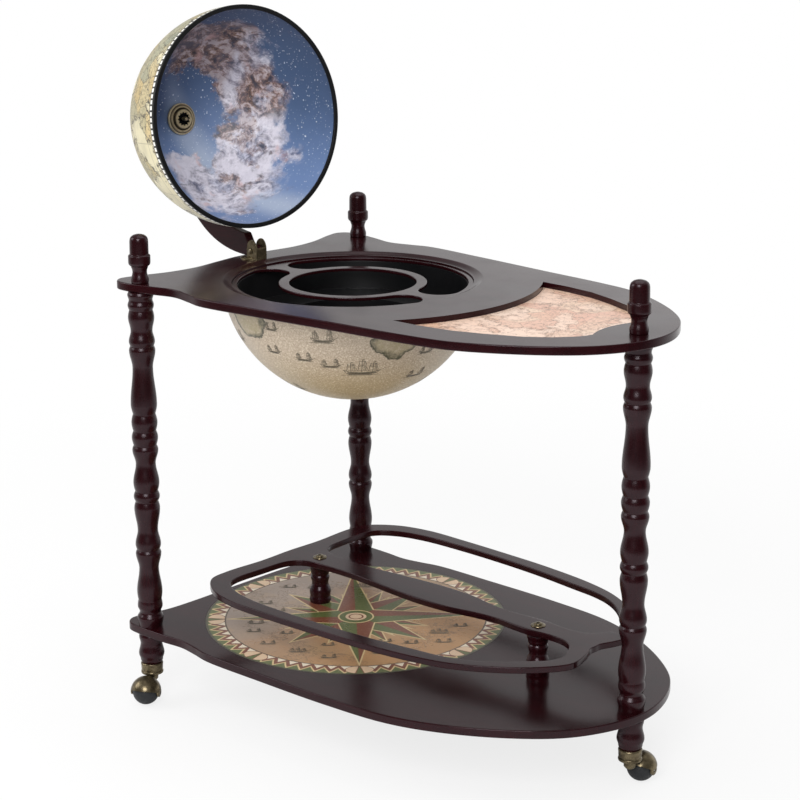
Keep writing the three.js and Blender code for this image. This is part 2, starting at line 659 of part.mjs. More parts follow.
function makeBowl() {
  const sink = bowlCentreHeight - tableUnderHeight;
  const inner = bowlRadius - shellWall;
  const steps = 6;
  const outside = shellArc(bowlRadius, bowlRadius, sink / bowlRadius, 0, steps);
  const inside = shellArc(inner, inner, sink / inner, 0, steps);
  const profile = [...outside.reverse(), ...inside].map(([r, h]) => [r, bowlCentreHeight - h]);
  add("lower_bowl", turned(profile, shellSides).translate(globeCentreX, 0, 0), printedCream);

  const ringBottom = tableUnderHeight - ringHeight;
  const screwCircle = openingRadius + ringScrewRadius + overrun / 2;
  const screwAt = (index, geometry) => {
    const angle = (360 * (index + 0.5)) / ringScrewCount;
    const x = globeCentreX + screwCircle * Math.cos(angle * deg);
    return geometry.translate(x, screwCircle * Math.sin(angle * deg), 0);
  };
  const ring = turned([
    [ringInnerRadius, ringBottom], [ringOuterRadius, ringBottom], [ringOuterRadius, tableUnderHeight],
    [ringInnerRadius, tableUnderHeight], [ringInnerRadius, ringBottom],
  ], shellSides).translate(globeCentreX, 0, 0);
  const ringHoles = [];
  const topHoles = [];
  for (let i = 0; i < ringScrewCount; i++) {
    const bore = ringScrewRadius + seatGap;
    ringHoles.push(screwAt(i, rod(bore, ringBottom - overrun, tableUnderHeight + overrun, 8)));
    const boreTop = tableUnderHeight + ringScrewReach + seatGap;
    topHoles.push(screwAt(i, rod(bore, tableUnderHeight - overrun, boreTop, 8)));
    const screw = turned([
      [0, ringBottom - ringScrewHeadHeight], [ringScrewHeadRadius, ringBottom - ringScrewHeadHeight],
      [ringScrewHeadRadius, ringBottom], [ringScrewRadius, ringBottom],
      [ringScrewRadius, tableUnderHeight + ringScrewReach], [0, tableUnderHeight + ringScrewReach],
    ], 8);
    add("ring_screw_" + (i + 1), screwAt(i, screw), steel);
  }
  add("bowl_ring", cut(ring, ...ringHoles), darkWood);
  const top = group.getObjectByName("tabletop");
  top.geometry = cut(top.geometry, ...topHoles);
}

function makeTray() {
  const flangeTop = plateBottom;
  const troughFloor = flangeTop - troughDepth;
  const wellFloor = flangeTop - wellDepth;
  const wallTop = ringInnerRadius - seatGap - seatGap;
  const flangeOuter = openingRadius - seatGap - seatGap;
  const ledge = troughFloor + trayWall;
  const mouth = wellRadius - trayWall;
  const trough = [
    [mouth, troughFloor], [troughOuterRadius, troughFloor], [wallTop, tableUnderHeight],
    [flangeOuter, tableUnderHeight], [flangeOuter, flangeTop], [wallTop - trayWall, flangeTop],
    [troughOuterRadius - trayWall, ledge], [mouth, ledge], [mouth, troughFloor],
  ];
  add("inner_tray", turned(trough, shellSides).translate(globeCentreX, 0, 0), blackPlastic);
  const lipBottom = troughFloor - wellLipThickness;
  const well = [
    [0, wellFloor], [wellRadius, wellFloor], [wellRadius, lipBottom], [wellRadius + wellLip, lipBottom],
    [wellRadius + wellLip, troughFloor], [mouth, troughFloor], [mouth, wellFloor + trayWall],
    [0, wellFloor + trayWall],
  ];
  add("well_cup", turned(well, shellSides).translate(globeCentreX, 0, 0), blackPlastic);
}

// A kidney slot as an arc of constant width with round ends, on one side of the long axis
function slotPath(side) {
  const middle = (slotInnerRadius + slotOuterRadius) / 2;
  const end = (slotOuterRadius - slotInnerRadius) / 2;
  const from = slotEndAngle;
  const to = 180 - slotEndAngle;
  const cap = (angle, start, stop) =>
    arcPoints(middle * Math.cos(angle * deg), middle * Math.sin(angle * deg), end, start, stop, 5).slice(1, -1);
  const points = [
    ...arcPoints(0, 0, slotOuterRadius, from, to, 12), ...cap(to, to, to + 180),
    ...arcPoints(0, 0, slotInnerRadius, to, from, 9), ...cap(from, from + 180, from + 360),
  ];
  return new THREE.Shape(points.map((p) => new THREE.Vector2(p.x, p.y * side)));
}

function makePlate() {
  const edge = openingRadius - seatGap;
  const shape = new THREE.Shape(circlePoints(0, 0, edge, shellSides));
  const bottleHole = new THREE.Path(circlePoints(0, 0, bottleHoleRadius, shellSides));
  shape.holes.push(bottleHole, slotPath(1), slotPath(-1));
  const plate = board(shape, plateBottom, plateThickness).translate(globeCentreX, 0, 0);
  add("insert_plate", toGeometry(toSolid(plate)), mahogany);
}

// The hinge pin's direction. Turning the closed lid about it brings the lid to its open rest.
const hingeAxis = new THREE.Vector3(
  -Math.sin(hingeYaw * deg),
  -Math.cos(hingeYaw * deg) * Math.cos(hingeRoll * deg),
  -Math.sin(hingeRoll * deg),
).normalize();
const hingePoint = new THREE.Vector3(hingePinX, 0, hingePinHeight);

function alongHinge(geometry) {
  const turn = new THREE.Quaternion().setFromUnitVectors(new THREE.Vector3(0, 0, 1), hingeAxis);
  return geometry.applyQuaternion(turn).translate(hingePoint.x, hingePoint.y, hingePoint.z);
}

const hingeScrewRadius = 1.8;
const hingeScrewHeadRadius = 2.8;
const hingeScrewHeadHeight = 1.4;
const hingeScrewReach = 8;

function makeHinge() {
  const baseTop = tableTopHeight + hingeBaseThickness;
  const baseX = hingePinX - hingeBaseOffset;
  const base = toSolid(rod(hingeBaseRadius, tableTopHeight, baseTop, 16).translate(baseX, 0, 0));
  const height = hingePinHeight - tableTopHeight;
  const width = forkGapHalf + forkCheek;
  const cheekProfile = new THREE.Shape([
    new THREE.Vector2(-forkHalfLength, -height),
    new THREE.Vector2(forkHalfLength + forkFront, -height),
    ...arcPoints(forkFront, 0, forkHalfLength, 0, 90, 3),
    ...arcPoints(0, 0, forkHalfLength, 90, 180, 3),
  ]);
  const block = new THREE.ExtrudeGeometry(cheekProfile, { depth: width + width, bevelEnabled: false });
  block.translate(0, 0, -width).rotateX(Math.PI / 2).translate(hingePinX, 0, hingePinHeight);
  const slotLow = baseTop;
  const slotHigh = hingePinHeight + forkHalfLength + overrun;
  const slotFront = hingePinX + forkHalfLength + forkFront - forkCheek;
  const slotBack = hingePinX - forkHalfLength - overrun;
  const slot = new THREE.BoxGeometry(slotFront - slotBack, forkGapHalf + forkGapHalf, slotHigh - slotLow);
  slot.translate((slotFront + slotBack) / 2, 0, (slotHigh + slotLow) / 2);
  const reach = width + width;
  const pinHole = alongHinge(rod(hingePinRadius + seatGap, -reach, reach, 10));
  const screws = [1, -1].map((side) => ({ x: baseX, y: side * (width + hingeScrewHeadRadius) }));
  let bracket = base.add(toSolid(block)).subtract(toSolid(slot)).subtract(toSolid(pinHole));
  const topHoles = [];
  const screwBore = hingeScrewRadius + seatGap;
  const boreBottom = tableTopHeight - hingeScrewReach - seatGap;
  screws.forEach(({ x, y }, index) => {
    const hole = rod(screwBore, boreBottom, baseTop + overrun, 8).translate(x, y, 0);
    bracket = bracket.subtract(toSolid(hole));
    topHoles.push(hole);
    const screw = turned([
      [0, tableTopHeight - hingeScrewReach], [hingeScrewRadius, tableTopHeight - hingeScrewReach],
      [hingeScrewRadius, baseTop], [hingeScrewHeadRadius, baseTop],
      [hingeScrewHeadRadius * 0.8, baseTop + hingeScrewHeadHeight], [0, baseTop + hingeScrewHeadHeight],
    ], 8);
    add("hinge_screw_" + (index + 1), screw.translate(x, y, 0), agedBrass);
  });
  add("hinge_bracket", toGeometry(bracket), agedBrass);
  const top = group.getObjectByName("tabletop");
  top.geometry = cut(top.geometry, ...topHoles);
  const pinHalf = width + forkCheek / 2;
  add("hinge_pin", alongHinge(rod(hingePinRadius, -pinHalf, pinHalf, 10)), agedBrass);
}

const hingeBaseOffset = 7;
const forkFront = 3; // how much longer the fork is ahead of its pin than behind it

// Lid, built closed over the opening in a group that turns about the hinge pin
const poleWasherThickness = armPoleGap / 2;

function makeLid() {
  const lid = new THREE.Group();
  const dome = new THREE.Group();
  lid.add(dome);
  const steps = 5;
  const pinBore = polePinRadius + seatGap;
  const raise = (points, base) => points.map(([r, h]) => [r, base + h]);
  const outside = shellArc(lidRimRadius, lidDepth, 0, pinBore, steps);
  const inside = shellArc(lidRimRadius - shellWall, lidDepth - shellWall, 0, pinBore, steps);
  const domeProfile = raise([...outside, ...inside.reverse(), outside[0]], lidRimHeight);
  add("lid_dome", turned(domeProfile, shellSides), printedCream, dome);

  const linerOuter = lidRimRadius - shellWall - seatGap;
  const linerDepth = lidDepth - shellWall - seatGap;
  const linerOutside = shellArc(linerOuter, linerDepth, 0, pinBore, steps);
  const linerInside = shellArc(linerOuter - linerThickness, linerDepth - linerThickness, 0, pinBore, steps);
  const linerProfile = raise([...linerOutside, ...[...linerInside].reverse(), linerOutside[0]], lidRimHeight);
  add("lid_liner", turned(linerProfile, shellSides), starSky, dome);

  const ringBottom = lidRimHeight - lidRingHeight;
  const ringProfile = [
    [lidRingInnerRadius, ringBottom], [lidRingOuterRadius, ringBottom], [lidRingOuterRadius, lidRimHeight],
    [lidRingInnerRadius, lidRimHeight], [lidRingInnerRadius, ringBottom],
  ];
  add("lid_ring", turned(ringProfile, shellSides), blackPlastic, dome);

  // Inside of the pole: a flange whose edge seats on the liner, with a twelve-pointed socket for the nut
  const seat = lidRimHeight + heightAt(linerInside, poleFlangeRadius) - seatGap;
  const low = seat - poleFlangeHeight;
  const flangeProfile = [
    [pinBore, low], [poleFlangeRadius * 0.38, low], [poleFlangeRadius * 0.5, low + poleFlangeHeight * 0.12],
    [poleFlangeRadius * 0.56, low + poleFlangeHeight * 0.45],
    [poleFlangeRadius * 0.88, low + poleFlangeHeight * 0.7],
    [poleFlangeRadius, seat], [pinBore, seat], [pinBore, low],
  ];
  const starPoints = circlePoints(0, 0, 1, 24).map((point, index) =>
    point.multiplyScalar(poleFlangeRadius * (index % 2 ? 0.26 : 0.33)),
  );
  const star = new THREE.Shape(starPoints);
  const socketDepth = poleFlangeHeight * 0.6;
  const socket = board(star, low - overrun, socketDepth + overrun);
  add("pole_flange", cut(turned(flangeProfile, 12), socket), agedBrass, dome);

  const armInner = lidRimHeight + armRadius - armThickness / 2;
  const armOuter = armInner + armThickness;
  const nutHeight = socketDepth * 0.5;
  const nutTop = low + socketDepth - seatGap;
  const knobTop = armOuter + poleKnobHeight;
  const knobRadius = polePinRadius * 2.7;
  const pinTop = armOuter + poleKnobHeight / 2;
  const nutBore = polePinRadius + seatGap;
  const nut = turned([
    [nutBore, nutTop - nutHeight], [polePinRadius * 1.7, nutTop - nutHeight], [polePinRadius * 1.7, nutTop],
    [nutBore, nutTop], [nutBore, nutTop - nutHeight],
  ]);
  add("pole_nut", nut, steel, lid);
  add("pole_pin", rod(polePinRadius, nutTop - nutHeight - seatGap, pinTop, 12), steel, lid);
  const washerBottom = lidRimHeight + lidDepth + seatGap;
  const washer = turned([
    [pinBore, washerBottom], [knobRadius, washerBottom], [knobRadius, washerBottom + poleWasherThickness],
    [pinBore, washerBottom + poleWasherThickness], [pinBore, washerBottom],
  ], 10);
  add("pole_washer", washer, agedBrass, lid);
  const knob = turned([
    [pinBore, armOuter], [knobRadius, armOuter], [knobRadius, armOuter + poleKnobHeight * 0.15],
    [knobRadius * 0.7, armOuter + poleKnobHeight * 0.28],
    [knobRadius * 0.92, armOuter + poleKnobHeight * 0.5],
    [knobRadius * 0.85, armOuter + poleKnobHeight * 0.75],
    [knobRadius * 0.45, armOuter + poleKnobHeight * 0.95],
    [0, knobTop], [0, pinTop + seatGap], [pinBore, pinTop + seatGap], [pinBore, armOuter],
  ], 10);
  add("pole_knob", knob, agedBrass, lid);

  // Arm: a quarter arc in the long plane with both ends rounded
  const half = armThickness / 2;
  const hingeAngle = 180 - Math.atan2(hingePinHeight - lidRimHeight, globeCentreX - hingePinX) / deg;
  const poleAngle = 90 - armPastPole;
  const end = (angle, from, to) => {
    const x = armRadius * Math.cos(angle * deg);
    const z = armRadius * Math.sin(angle * deg);
    return arcPoints(x, z, half, from, to, 5).slice(1, -1);
  };
  const armShape = new THREE.Shape([
    ...arcPoints(0, 0, armRadius + half, poleAngle, hingeAngle, 12),
    ...end(hingeAngle, hingeAngle, hingeAngle + 180),
    ...arcPoints(0, 0, armRadius - half, hingeAngle, poleAngle, 12),
    ...end(poleAngle, poleAngle + 180, poleAngle + 360),
  ]);
  const bevel = armWidth / 7;
  const armBlank = new THREE.ExtrudeGeometry(armShape, {
    depth: armWidth - bevel - bevel,
    bevelEnabled: true,
    bevelThickness: bevel,
    bevelSize: bevel,
    bevelOffset: -bevel,
    bevelSegments: 1,
  });
  armBlank.translate(0, 0, bevel - armWidth / 2).rotateX(Math.PI / 2).translate(0, 0, lidRimHeight);
  const reach = armWidth;
  const poleHole = rod(pinBore, armInner - overrun, armOuter + overrun, 12);
  const hingeHole = alongHinge(rod(hingePinRadius + seatGap, -reach, reach, 10)).translate(-globeCentreX, 0, 0);
  add("meridian_arm", cut(armBlank, poleHole, hingeHole), darkWood, lid);

  // The whole lid turns back about the hinge pin to its open rest
  const pivot = new THREE.Group();
  pivot.position.copy(hingePoint);
  pivot.quaternion.setFromAxisAngle(hingeAxis, lidOpenAngle * deg);
  lid.position.set(globeCentreX - hingePoint.x, 0, -hingePoint.z);
  pivot.add(lid);
  group.add(pivot);
}

const armPastPole = 2.4; // degrees that the arm's centre line runs past the pole

makeTabletop();
makeShelf();
makeLegs();
makeCasters();
makeRail();
makeBowl();
makeTray();
makePlate();
makeHinge();
makeLid();

group.position.x = -originAhead;

export default group;
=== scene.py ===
"""Dresses the packed floor globe bar: a three-legged drinks table with a globe that opens over a rack.

Lengths are metres in the frame of the packed model: +Z up, +X along the table to its narrow end.
"""

import json
import math

import bmesh
import bpy
from bpy.props import FloatProperty, FloatVectorProperty, PointerProperty
from mathutils import Matrix, Vector


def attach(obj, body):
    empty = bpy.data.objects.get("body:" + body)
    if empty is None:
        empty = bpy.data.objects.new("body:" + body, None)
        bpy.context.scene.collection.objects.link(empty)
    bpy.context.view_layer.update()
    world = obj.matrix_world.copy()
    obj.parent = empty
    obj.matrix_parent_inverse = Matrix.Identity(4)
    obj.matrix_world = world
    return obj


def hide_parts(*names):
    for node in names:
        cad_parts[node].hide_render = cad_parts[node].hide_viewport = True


bl_info = {
    "name": "Floor globe bar",
    "version": (1, 0, 0),
    "blender": (4, 5, 0),
    "location": "View3D > Sidebar > Globe bar",
    "description": "Builds the shown pieces of a floor globe bar around its packed frame",
    "category": "Object",
}

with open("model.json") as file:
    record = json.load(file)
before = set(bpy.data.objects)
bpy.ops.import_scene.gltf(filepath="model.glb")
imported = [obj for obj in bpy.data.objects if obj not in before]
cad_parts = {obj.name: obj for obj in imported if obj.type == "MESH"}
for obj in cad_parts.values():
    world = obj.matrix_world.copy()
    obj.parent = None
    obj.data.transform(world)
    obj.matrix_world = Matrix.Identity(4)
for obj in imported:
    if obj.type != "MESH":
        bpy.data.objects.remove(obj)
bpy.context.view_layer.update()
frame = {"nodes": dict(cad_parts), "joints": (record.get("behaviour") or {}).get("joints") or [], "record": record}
RECORD = frame["record"]
BODY_OF = {node: body for body, nodes in RECORD["behaviour"]["bodies"].items() for node in nodes}
JOINTS = {joint["name"]: joint for joint in frame["joints"]}
MM = 0.001


# Sizes and colours


def length(name, default, description):
    return FloatProperty(name=name, description=description, default=default, precision=4, unit="LENGTH")


def tint(name, default, description):
    return FloatVectorProperty(
        name=name, description=description, default=default, size=3, min=0.0, max=1.0, subtype="COLOR"
    )


class TableSizes(bpy.types.PropertyGroup):
    """Boards, legs and bottle rail"""

    top: length("Tabletop height", 0.632, "Floor to the tabletop's upper face")
    shelf: length("Shelf height", 0.114, "Floor to the shelf's upper face")
    board: length("Board thickness", 0.012, "Thickness of the tabletop and of the shelf")
    edge: length("Edge round", 0.0016, "Rounding of the boards' edges")
    spread: length("Leg spread", 0.452, "Between the two legs of the wide end")
    reach: length("Leg reach", 0.714, "From the wide end's legs to the narrow end's leg")
    ahead: length("Origin ahead", 0.26, "From the wide end's legs to the origin")
    top_tip: length("Tabletop tip", 0.748, "From the wide end's legs to the tabletop's narrow tip")
    top_half: length("Tabletop half width", 0.242, "Long axis to the tabletop's widest point")
    shelf_tip: length("Shelf tip", 0.737, "From the wide end's legs to the shelf's narrow tip")
    shelf_half: length("Shelf half width", 0.252, "Long axis to the shelf's widest point")
    post: length("Post radius", 0.0193, "Greatest radius of a turned post")
    finial: length("Finial radius", 0.0159, "Greatest radius of a finial")
    finial_height: length("Finial height", 0.071, "Tabletop to the finial's top")
    foot: length("Foot radius", 0.0189, "Greatest radius of a turned foot")
    foot_end: length("Foot end", 0.056, "Floor to the foot's shoulder on its caster cup")
    rail_rise: length("Rail rise", 0.07, "Shelf to the rail's upper face")
    rail: length("Rail thickness", 0.009, "Thickness of the bottle rail")
    rail_end: length("Rail end", 0.06, "Wide end's legs to the rail's wide-end bar")
    rail_tip: length("Rail tip", 0.65, "Wide end's legs to the bottom of the rail's narrow bay")
    rail_half: length("Rail half width", 0.212, "Half the width of the bottle rail")
    rail_y: length("Rail offset", 0.004, "How far the frame sits to the rear")
    bar_y: length("Centre bar offset", 0.012, "How far the waved bar sits to the rear")
    standoff: length("Standoff radius", 0.0165, "Greatest radius of a pillar under the rail")
    standoff_wide: length("Wide-end standoff", 0.118, "Wide end's legs to that pillar")
    standoff_narrow: length("Narrow-end standoff", 0.543, "Wide end's legs to that pillar")
    medallion: length("Medallion radius", 0.224, "Radius of the printed disc in the shelf")


class GlobeSizes(bpy.types.PropertyGroup):
    """Bowl, rack, lid and hinge"""

    centre_x: length("Globe centre", 0.204, "Wide end's legs to the globe's centre")
    bowl: length("Bowl radius", 0.19, "Outer radius of the lower bowl")
    bowl_rise: length("Bowl rise", 0.015, "The bowl's centre above the tabletop")
    wall: length("Shell wall", 0.0035, "Wall of the bowl and of the dome")
    cove: length("Cove radius", 0.188, "Where the routed cove starts on the tabletop")
    opening: length("Opening radius", 0.1743, "Round opening of the tabletop")
    cove_depth: length("Cove depth", 0.004, "Depth of the routed cove")
    ring_in: length("Ring inner radius", 0.1685, "Inner radius of the carrying ring")
    ring_out: length("Ring outer radius", 0.1803, "Outer radius of the carrying ring")
    ring_height: length("Ring height", 0.012, "Height of the carrying ring")
    flange: length("Tray flange", 0.0015, "Thickness of the tray's flange and of the well's lip")
    tray_wall: length("Tray wall", 0.002, "Wall of the black tray and the well")
    trough: length("Trough depth", 0.044, "Depth of the trough for glasses")
    trough_out: length("Trough radius", 0.165, "Outer radius of the trough's floor")
    well: length("Well radius", 0.097, "Outer radius of the bottle well")
    well_depth: length("Well depth", 0.1, "Depth of the bottle well")
    plate: length("Plate thickness", 0.0045, "Thickness of the plate with holes")
    bottle_hole: length("Bottle hole", 0.0917, "Radius of the hole in the plate's middle")
    slot_in: length("Slot inner radius", 0.107, "Inner radius of the kidney slots")
    slot_out: length("Slot outer radius", 0.1665, "Outer radius of the kidney slots")
    rim: length("Lid rim radius", 0.1645, "Outer radius of the dome's rim")
    lid_depth: length("Lid depth", 0.19, "Rim to the outside of the pole")
    liner: length("Liner thickness", 0.0012, "Thickness of the star sky skin")
    lid_ring_in: length("Black ring inner radius", 0.1582, "Inner radius of the lid's black ring")
    lid_ring_out: length("Black ring outer radius", 0.1649, "Outer radius of the lid's black ring")
    lid_ring: length("Black ring height", 0.004, "Height of the lid's black ring")
    arm: length("Arm thickness", 0.017, "Thickness of the arm towards the pole")
    arm_width: length("Arm width", 0.013, "Width of the arm along the hinge pin")
    pin: length("Pin radius", 0.003, "Radius of the pole pin and of the hinge pin")
    pole_flange: length("Pole flange radius", 0.0245, "Radius of the brass flange inside the pole")
    pole_flange_height: length("Pole flange height", 0.008, "Height of that flange")
    knob: length("Knob height", 0.015, "Height of the brass knob behind the arm")
    hinge_base: length("Hinge base radius", 0.0186, "Radius of the hinge's round base plate")
    fork_gap: length("Fork gap", 0.0084, "Half the gap between the hinge's cheeks")
    fork: length("Fork radius", 0.009, "Radius of the cheeks round the pin")


class CasterSizes(bpy.types.PropertyGroup):
    """Ball casters"""

    ball: length("Ball radius", 0.0195, "Radius of the ball wheel")
    gap: length("Hood gap", 0.0012, "Between the ball and the hood")
    wall: length("Hood wall", 0.002, "Wall of the hood")
    trail: length("Trail", 0.027, "Swivel axis to the ball's centre")
    ferrule: length("Ferrule radius", 0.0165, "Radius of the cup on the foot")
    ferrule_bottom: length("Ferrule bottom", 0.039, "Floor to the underside of the cup")
    pin: length("Swivel pin radius", 0.004, "Radius of the swivel pin")
    axle: length("Axle radius", 0.0017, "Radius of the pin through the ball")


class Finishes(bpy.types.PropertyGroup):
    """Colours of the finishes"""

    lacquer: tint("Lacquer", (0.022, 0.0030, 0.0044), "Mahogany lacquer on the boards and turnings")
    lacquer_dark: tint("Dark lacquer", (0.008, 0.0016, 0.0022), "Darker fibres of the lacquered wood")
    brass: tint("Aged brass", (0.50, 0.40, 0.235), "Rubbed high spots of the antique brass")
    patina: tint("Patina", (0.17, 0.130, 0.075), "Darkened hollows of the antique brass")
    steel: tint("Steel", (0.46, 0.46, 0.47), "Plain zinc-plated steel")
    rubber: tint("Rubber", (0.009, 0.010, 0.012), "Ball wheels")
    plastic: tint("Black plastic", (0.0035, 0.0035, 0.004), "Tray, well and lid ring")
    paper: tint("Map paper", (0.74, 0.67, 0.45), "Printed paper of the globe")
    sea: tint("Bowl paper", (0.53, 0.43, 0.325), "Printed sea of the bowl")
    ink: tint("Map ink", (0.075, 0.062, 0.042), "Coast lines and ships")
    sky: tint("Sky", (0.075, 0.125, 0.235), "Deep blue of the star sky")
    haze: tint("Haze", (0.19, 0.29, 0.52), "Light blue of the star sky")
    panel: tint("Panel paper", (0.86, 0.60, 0.46), "Printed paper of the map panel")
    sepia: tint("Medallion paper", (0.47, 0.255, 0.11), "Printed middle of the medallion")


# Shader nodes


class Value:
    """A socket of a node tree, with the arithmetic that adds Math nodes."""

    def __init__(self, nodes, socket):
        self.nodes = nodes
        self.socket = socket

    def maths(self, operation, *others):
        return self.nodes.maths(operation, self, *others)

    def __add__(self, other):
        return self.maths("ADD", other)

    def __sub__(self, other):
        return self.maths("SUBTRACT", other)

    def __rsub__(self, other):
        return self.nodes.maths("SUBTRACT", other, self)

    def __mul__(self, other):
        return self.maths("MULTIPLY", other)

    def __truediv__(self, other):
        return self.maths("DIVIDE", other)

    def __pow__(self, other):
        return self.maths("POWER", other)

    def __mod__(self, other):
        return self.maths("FLOORED_MODULO", other)

    def __abs__(self):
        return self.maths("ABSOLUTE")

    def __gt__(self, other):
        return self.maths("GREATER_THAN", other)

    def __lt__(self, other):
        return self.maths("LESS_THAN", other)

    __radd__ = __add__
    __rmul__ = __mul__

    def smooth(self, low, high):
        """0 below low, 1 above high, with a soft step between them"""
        inputs = {"Value": self, "From Min": low, "From Max": high}
        return self.nodes.add("ShaderNodeMapRange", {"interpolation_type": "SMOOTHSTEP"}, inputs)

    def line(self, at, half, soft=0.35):
        """1 where the value is within half of at"""
        return 1 - abs(self - at).smooth(half * (1 - soft), half * (1 + soft))


class Nodes:
    """Adds nodes to a shader tree."""

    def __init__(self, tree):
        self.tree = tree

    def feed(self, socket, value):
        if isinstance(value, Value):
            self.tree.links.new(value.socket, socket)
        elif socket.type == "RGBA" and len(value) == 3:
            socket.default_value = (*value, 1.0)
        else:
            socket.default_value = value

    def add(self, kind, settings=None, inputs=None, output=0):
        """Adds a node: its type, its settings, the values or links of its sockets, and the output to use"""
        node = self.tree.nodes.new(kind)
        settings = dict(settings or {})
        stops = settings.pop("stops", None)
        for key, value in settings.items():
            setattr(node, key, value)
        if stops:
            ramp = node.color_ramp.elements
            while len(ramp) < len(stops):
                ramp.new(1.0)
            for element, (position, colour) in zip(ramp, stops):
                element.position = position
                element.color = (*colour, 1.0)
        for key, value in (inputs or {}).items():
            self.feed(node.inputs[key], value)
        return Value(self, node.outputs[output])

    def maths(self, operation, *values):
        return self.add("ShaderNodeMath", {"operation": operation}, dict(enumerate(values)))

    def blend(self, first, second, share):
        """A colour between two colours"""
        return self.add("ShaderNodeMix", {"data_type": "RGBA"}, {0: share, 6: first, 7: second}, 2)

    def ramp(self, value, *stops):
        return self.add("ShaderNodeValToRGB", {"stops": stops}, {0: value})

    def place(self):
        """Position in the piece's own frame"""
        return self.add("ShaderNodeTexCoord", output="Object")

    def along(self, vector, factors):
        return self.add("ShaderNodeVectorMath", {"operation": "MULTIPLY"}, {0: vector, 1: factors})

    def shifted(self, vector, offset):
        return self.add("ShaderNodeVectorMath", {"operation": "ADD"}, {0: vector, 1: offset})

    def distance(self, vector, point):
        return self.add("ShaderNodeVectorMath", {"operation": "DISTANCE"}, {0: vector, 1: point}, "Value")

    def direction(self, vector):
        return self.add("ShaderNodeVectorMath", {"operation": "NORMALIZE"}, {0: vector})

    def axes(self, vector):
        node = self.tree.nodes.new("ShaderNodeSeparateXYZ")
        self.feed(node.inputs[0], vector)
        return [Value(self, socket) for socket in node.outputs]

    def noise(self, vector, scale, detail=2.0, roughness=0.5, distortion=0.0):
        inputs = {
            "Vector": vector, "Scale": scale, "Detail": detail,
            "Roughness": roughness, "Distortion": distortion,
        }
        return self.add("ShaderNodeTexNoise", None, inputs)

    def cells(self, vector, scale, feature="F1", output="Distance"):
        inputs = {"Vector": vector, "Scale": scale}
        return self.add("ShaderNodeTexVoronoi", {"feature": feature}, inputs, output)

    def grey(self, colour):
        return self.add("ShaderNodeRGBToBW", None, {0: colour})


class Finish(Nodes):
    """A procedural finish with one surface shader."""

    def __init__(self, name):
        self.material = bpy.data.materials.new(name)
        self.material.use_nodes = True
        super().__init__(self.material.node_tree)
        self.surface = self.tree.nodes["Principled BSDF"]

    def use(self, **sockets):
        """Sets or links sockets of the surface: base_color=..., roughness=..."""
        for name, value in sockets.items():
            self.feed(self.surface.inputs[name.replace("_", " ").title().replace("Ior", "IOR")], value)
        return self.material

    def bump(self, height, strength, distance):
        inputs = {"Strength": strength, "Distance": distance, "Height": height}
        self.feed(self.surface.inputs["Normal"], self.add("ShaderNodeBump", None, inputs))


def colour_of(name):
    return tuple(getattr(bpy.context.scene.globe_bar_finishes, name))


def toned(colour, factor):
    """A colour made darker or brighter"""
    return tuple(part * factor for part in colour)


def on_sphere(turn, lift, radius=1.0):
    """A point on a sphere from its two angles in radians"""
    level = radius * math.cos(lift)
    return (level * math.cos(turn), level * math.sin(turn), radius * math.sin(lift))


def once(make):
    """Makes a finish the first time that it is asked for"""
    made = {}

    def kept(*arguments):
        if arguments not in made:
            made[arguments] = make(*arguments)
        return made[arguments]

    return kept


@once
def lacquer(grain_axis, gloss=0.17, shine=0.26):
    """Dark mahogany lacquer over fine wood fibres that run along an axis"""
    finish = Finish(f"mahogany_lacquer_{grain_axis}_{round(gloss * 100)}_{round(shine * 100)}")
    stretch = [14.0, 14.0, 14.0]
    stretch["XYZ".index(grain_axis)] = 1.0
    place = finish.place()
    fibres = finish.noise(finish.along(place, stretch), 22.0, 6.0, 0.62, 0.3)
    pores = finish.noise(finish.along(place, [factor * 4 for factor in stretch]), 30.0, 2.0, 0.5)
    bands = finish.noise(finish.along(place, stretch), 3.0, 2.0, 0.5)
    tone = 0.25 + fibres.smooth(0.36, 0.7) * 0.35 + bands.smooth(0.3, 0.7) * 0.35
    worn = finish.noise(place, 9.0, 4.0, 0.6)
    finish.bump(fibres * 0.8 + pores * 0.2, 0.025, 0.0006)
    return finish.use(
        base_color=finish.blend(colour_of("lacquer_dark"), colour_of("lacquer"), tone),
        roughness=gloss + worn.smooth(0.35, 0.75) * 0.07,
        specular_ior_level=shine,
        specular_tint=(1.0, 0.90, 0.98),
    )


@once
def aged_brass(tone=0.42):
    """Antique brass: rubbed high spots over a dark patina. Its tone scales both, painting light and shade: lower
    tones are shaded copies and higher tones lit copies of the same brass
    """
    finish = Finish(f"aged_brass_{round(tone * 100)}")
    place = finish.place()
    blotches = finish.noise(place, 110.0, 4.0, 0.55)
    fine = finish.noise(place, 900.0, 3.0, 0.6)
    rubbed = (blotches * 0.8 + fine * 0.2).smooth(0.3, 0.68)
    # Painted light and shade: brass and patina scaled by the tone
    dark, bright = (toned(colour_of(name), tone) for name in ("patina", "brass"))
    finish.bump(blotches * 0.5 + fine * 0.5, 0.05, 0.0004)
    colour = finish.blend(dark, bright, rubbed)
    return finish.use(base_color=colour, metallic=0.8, roughness=0.36 - rubbed * 0.1)


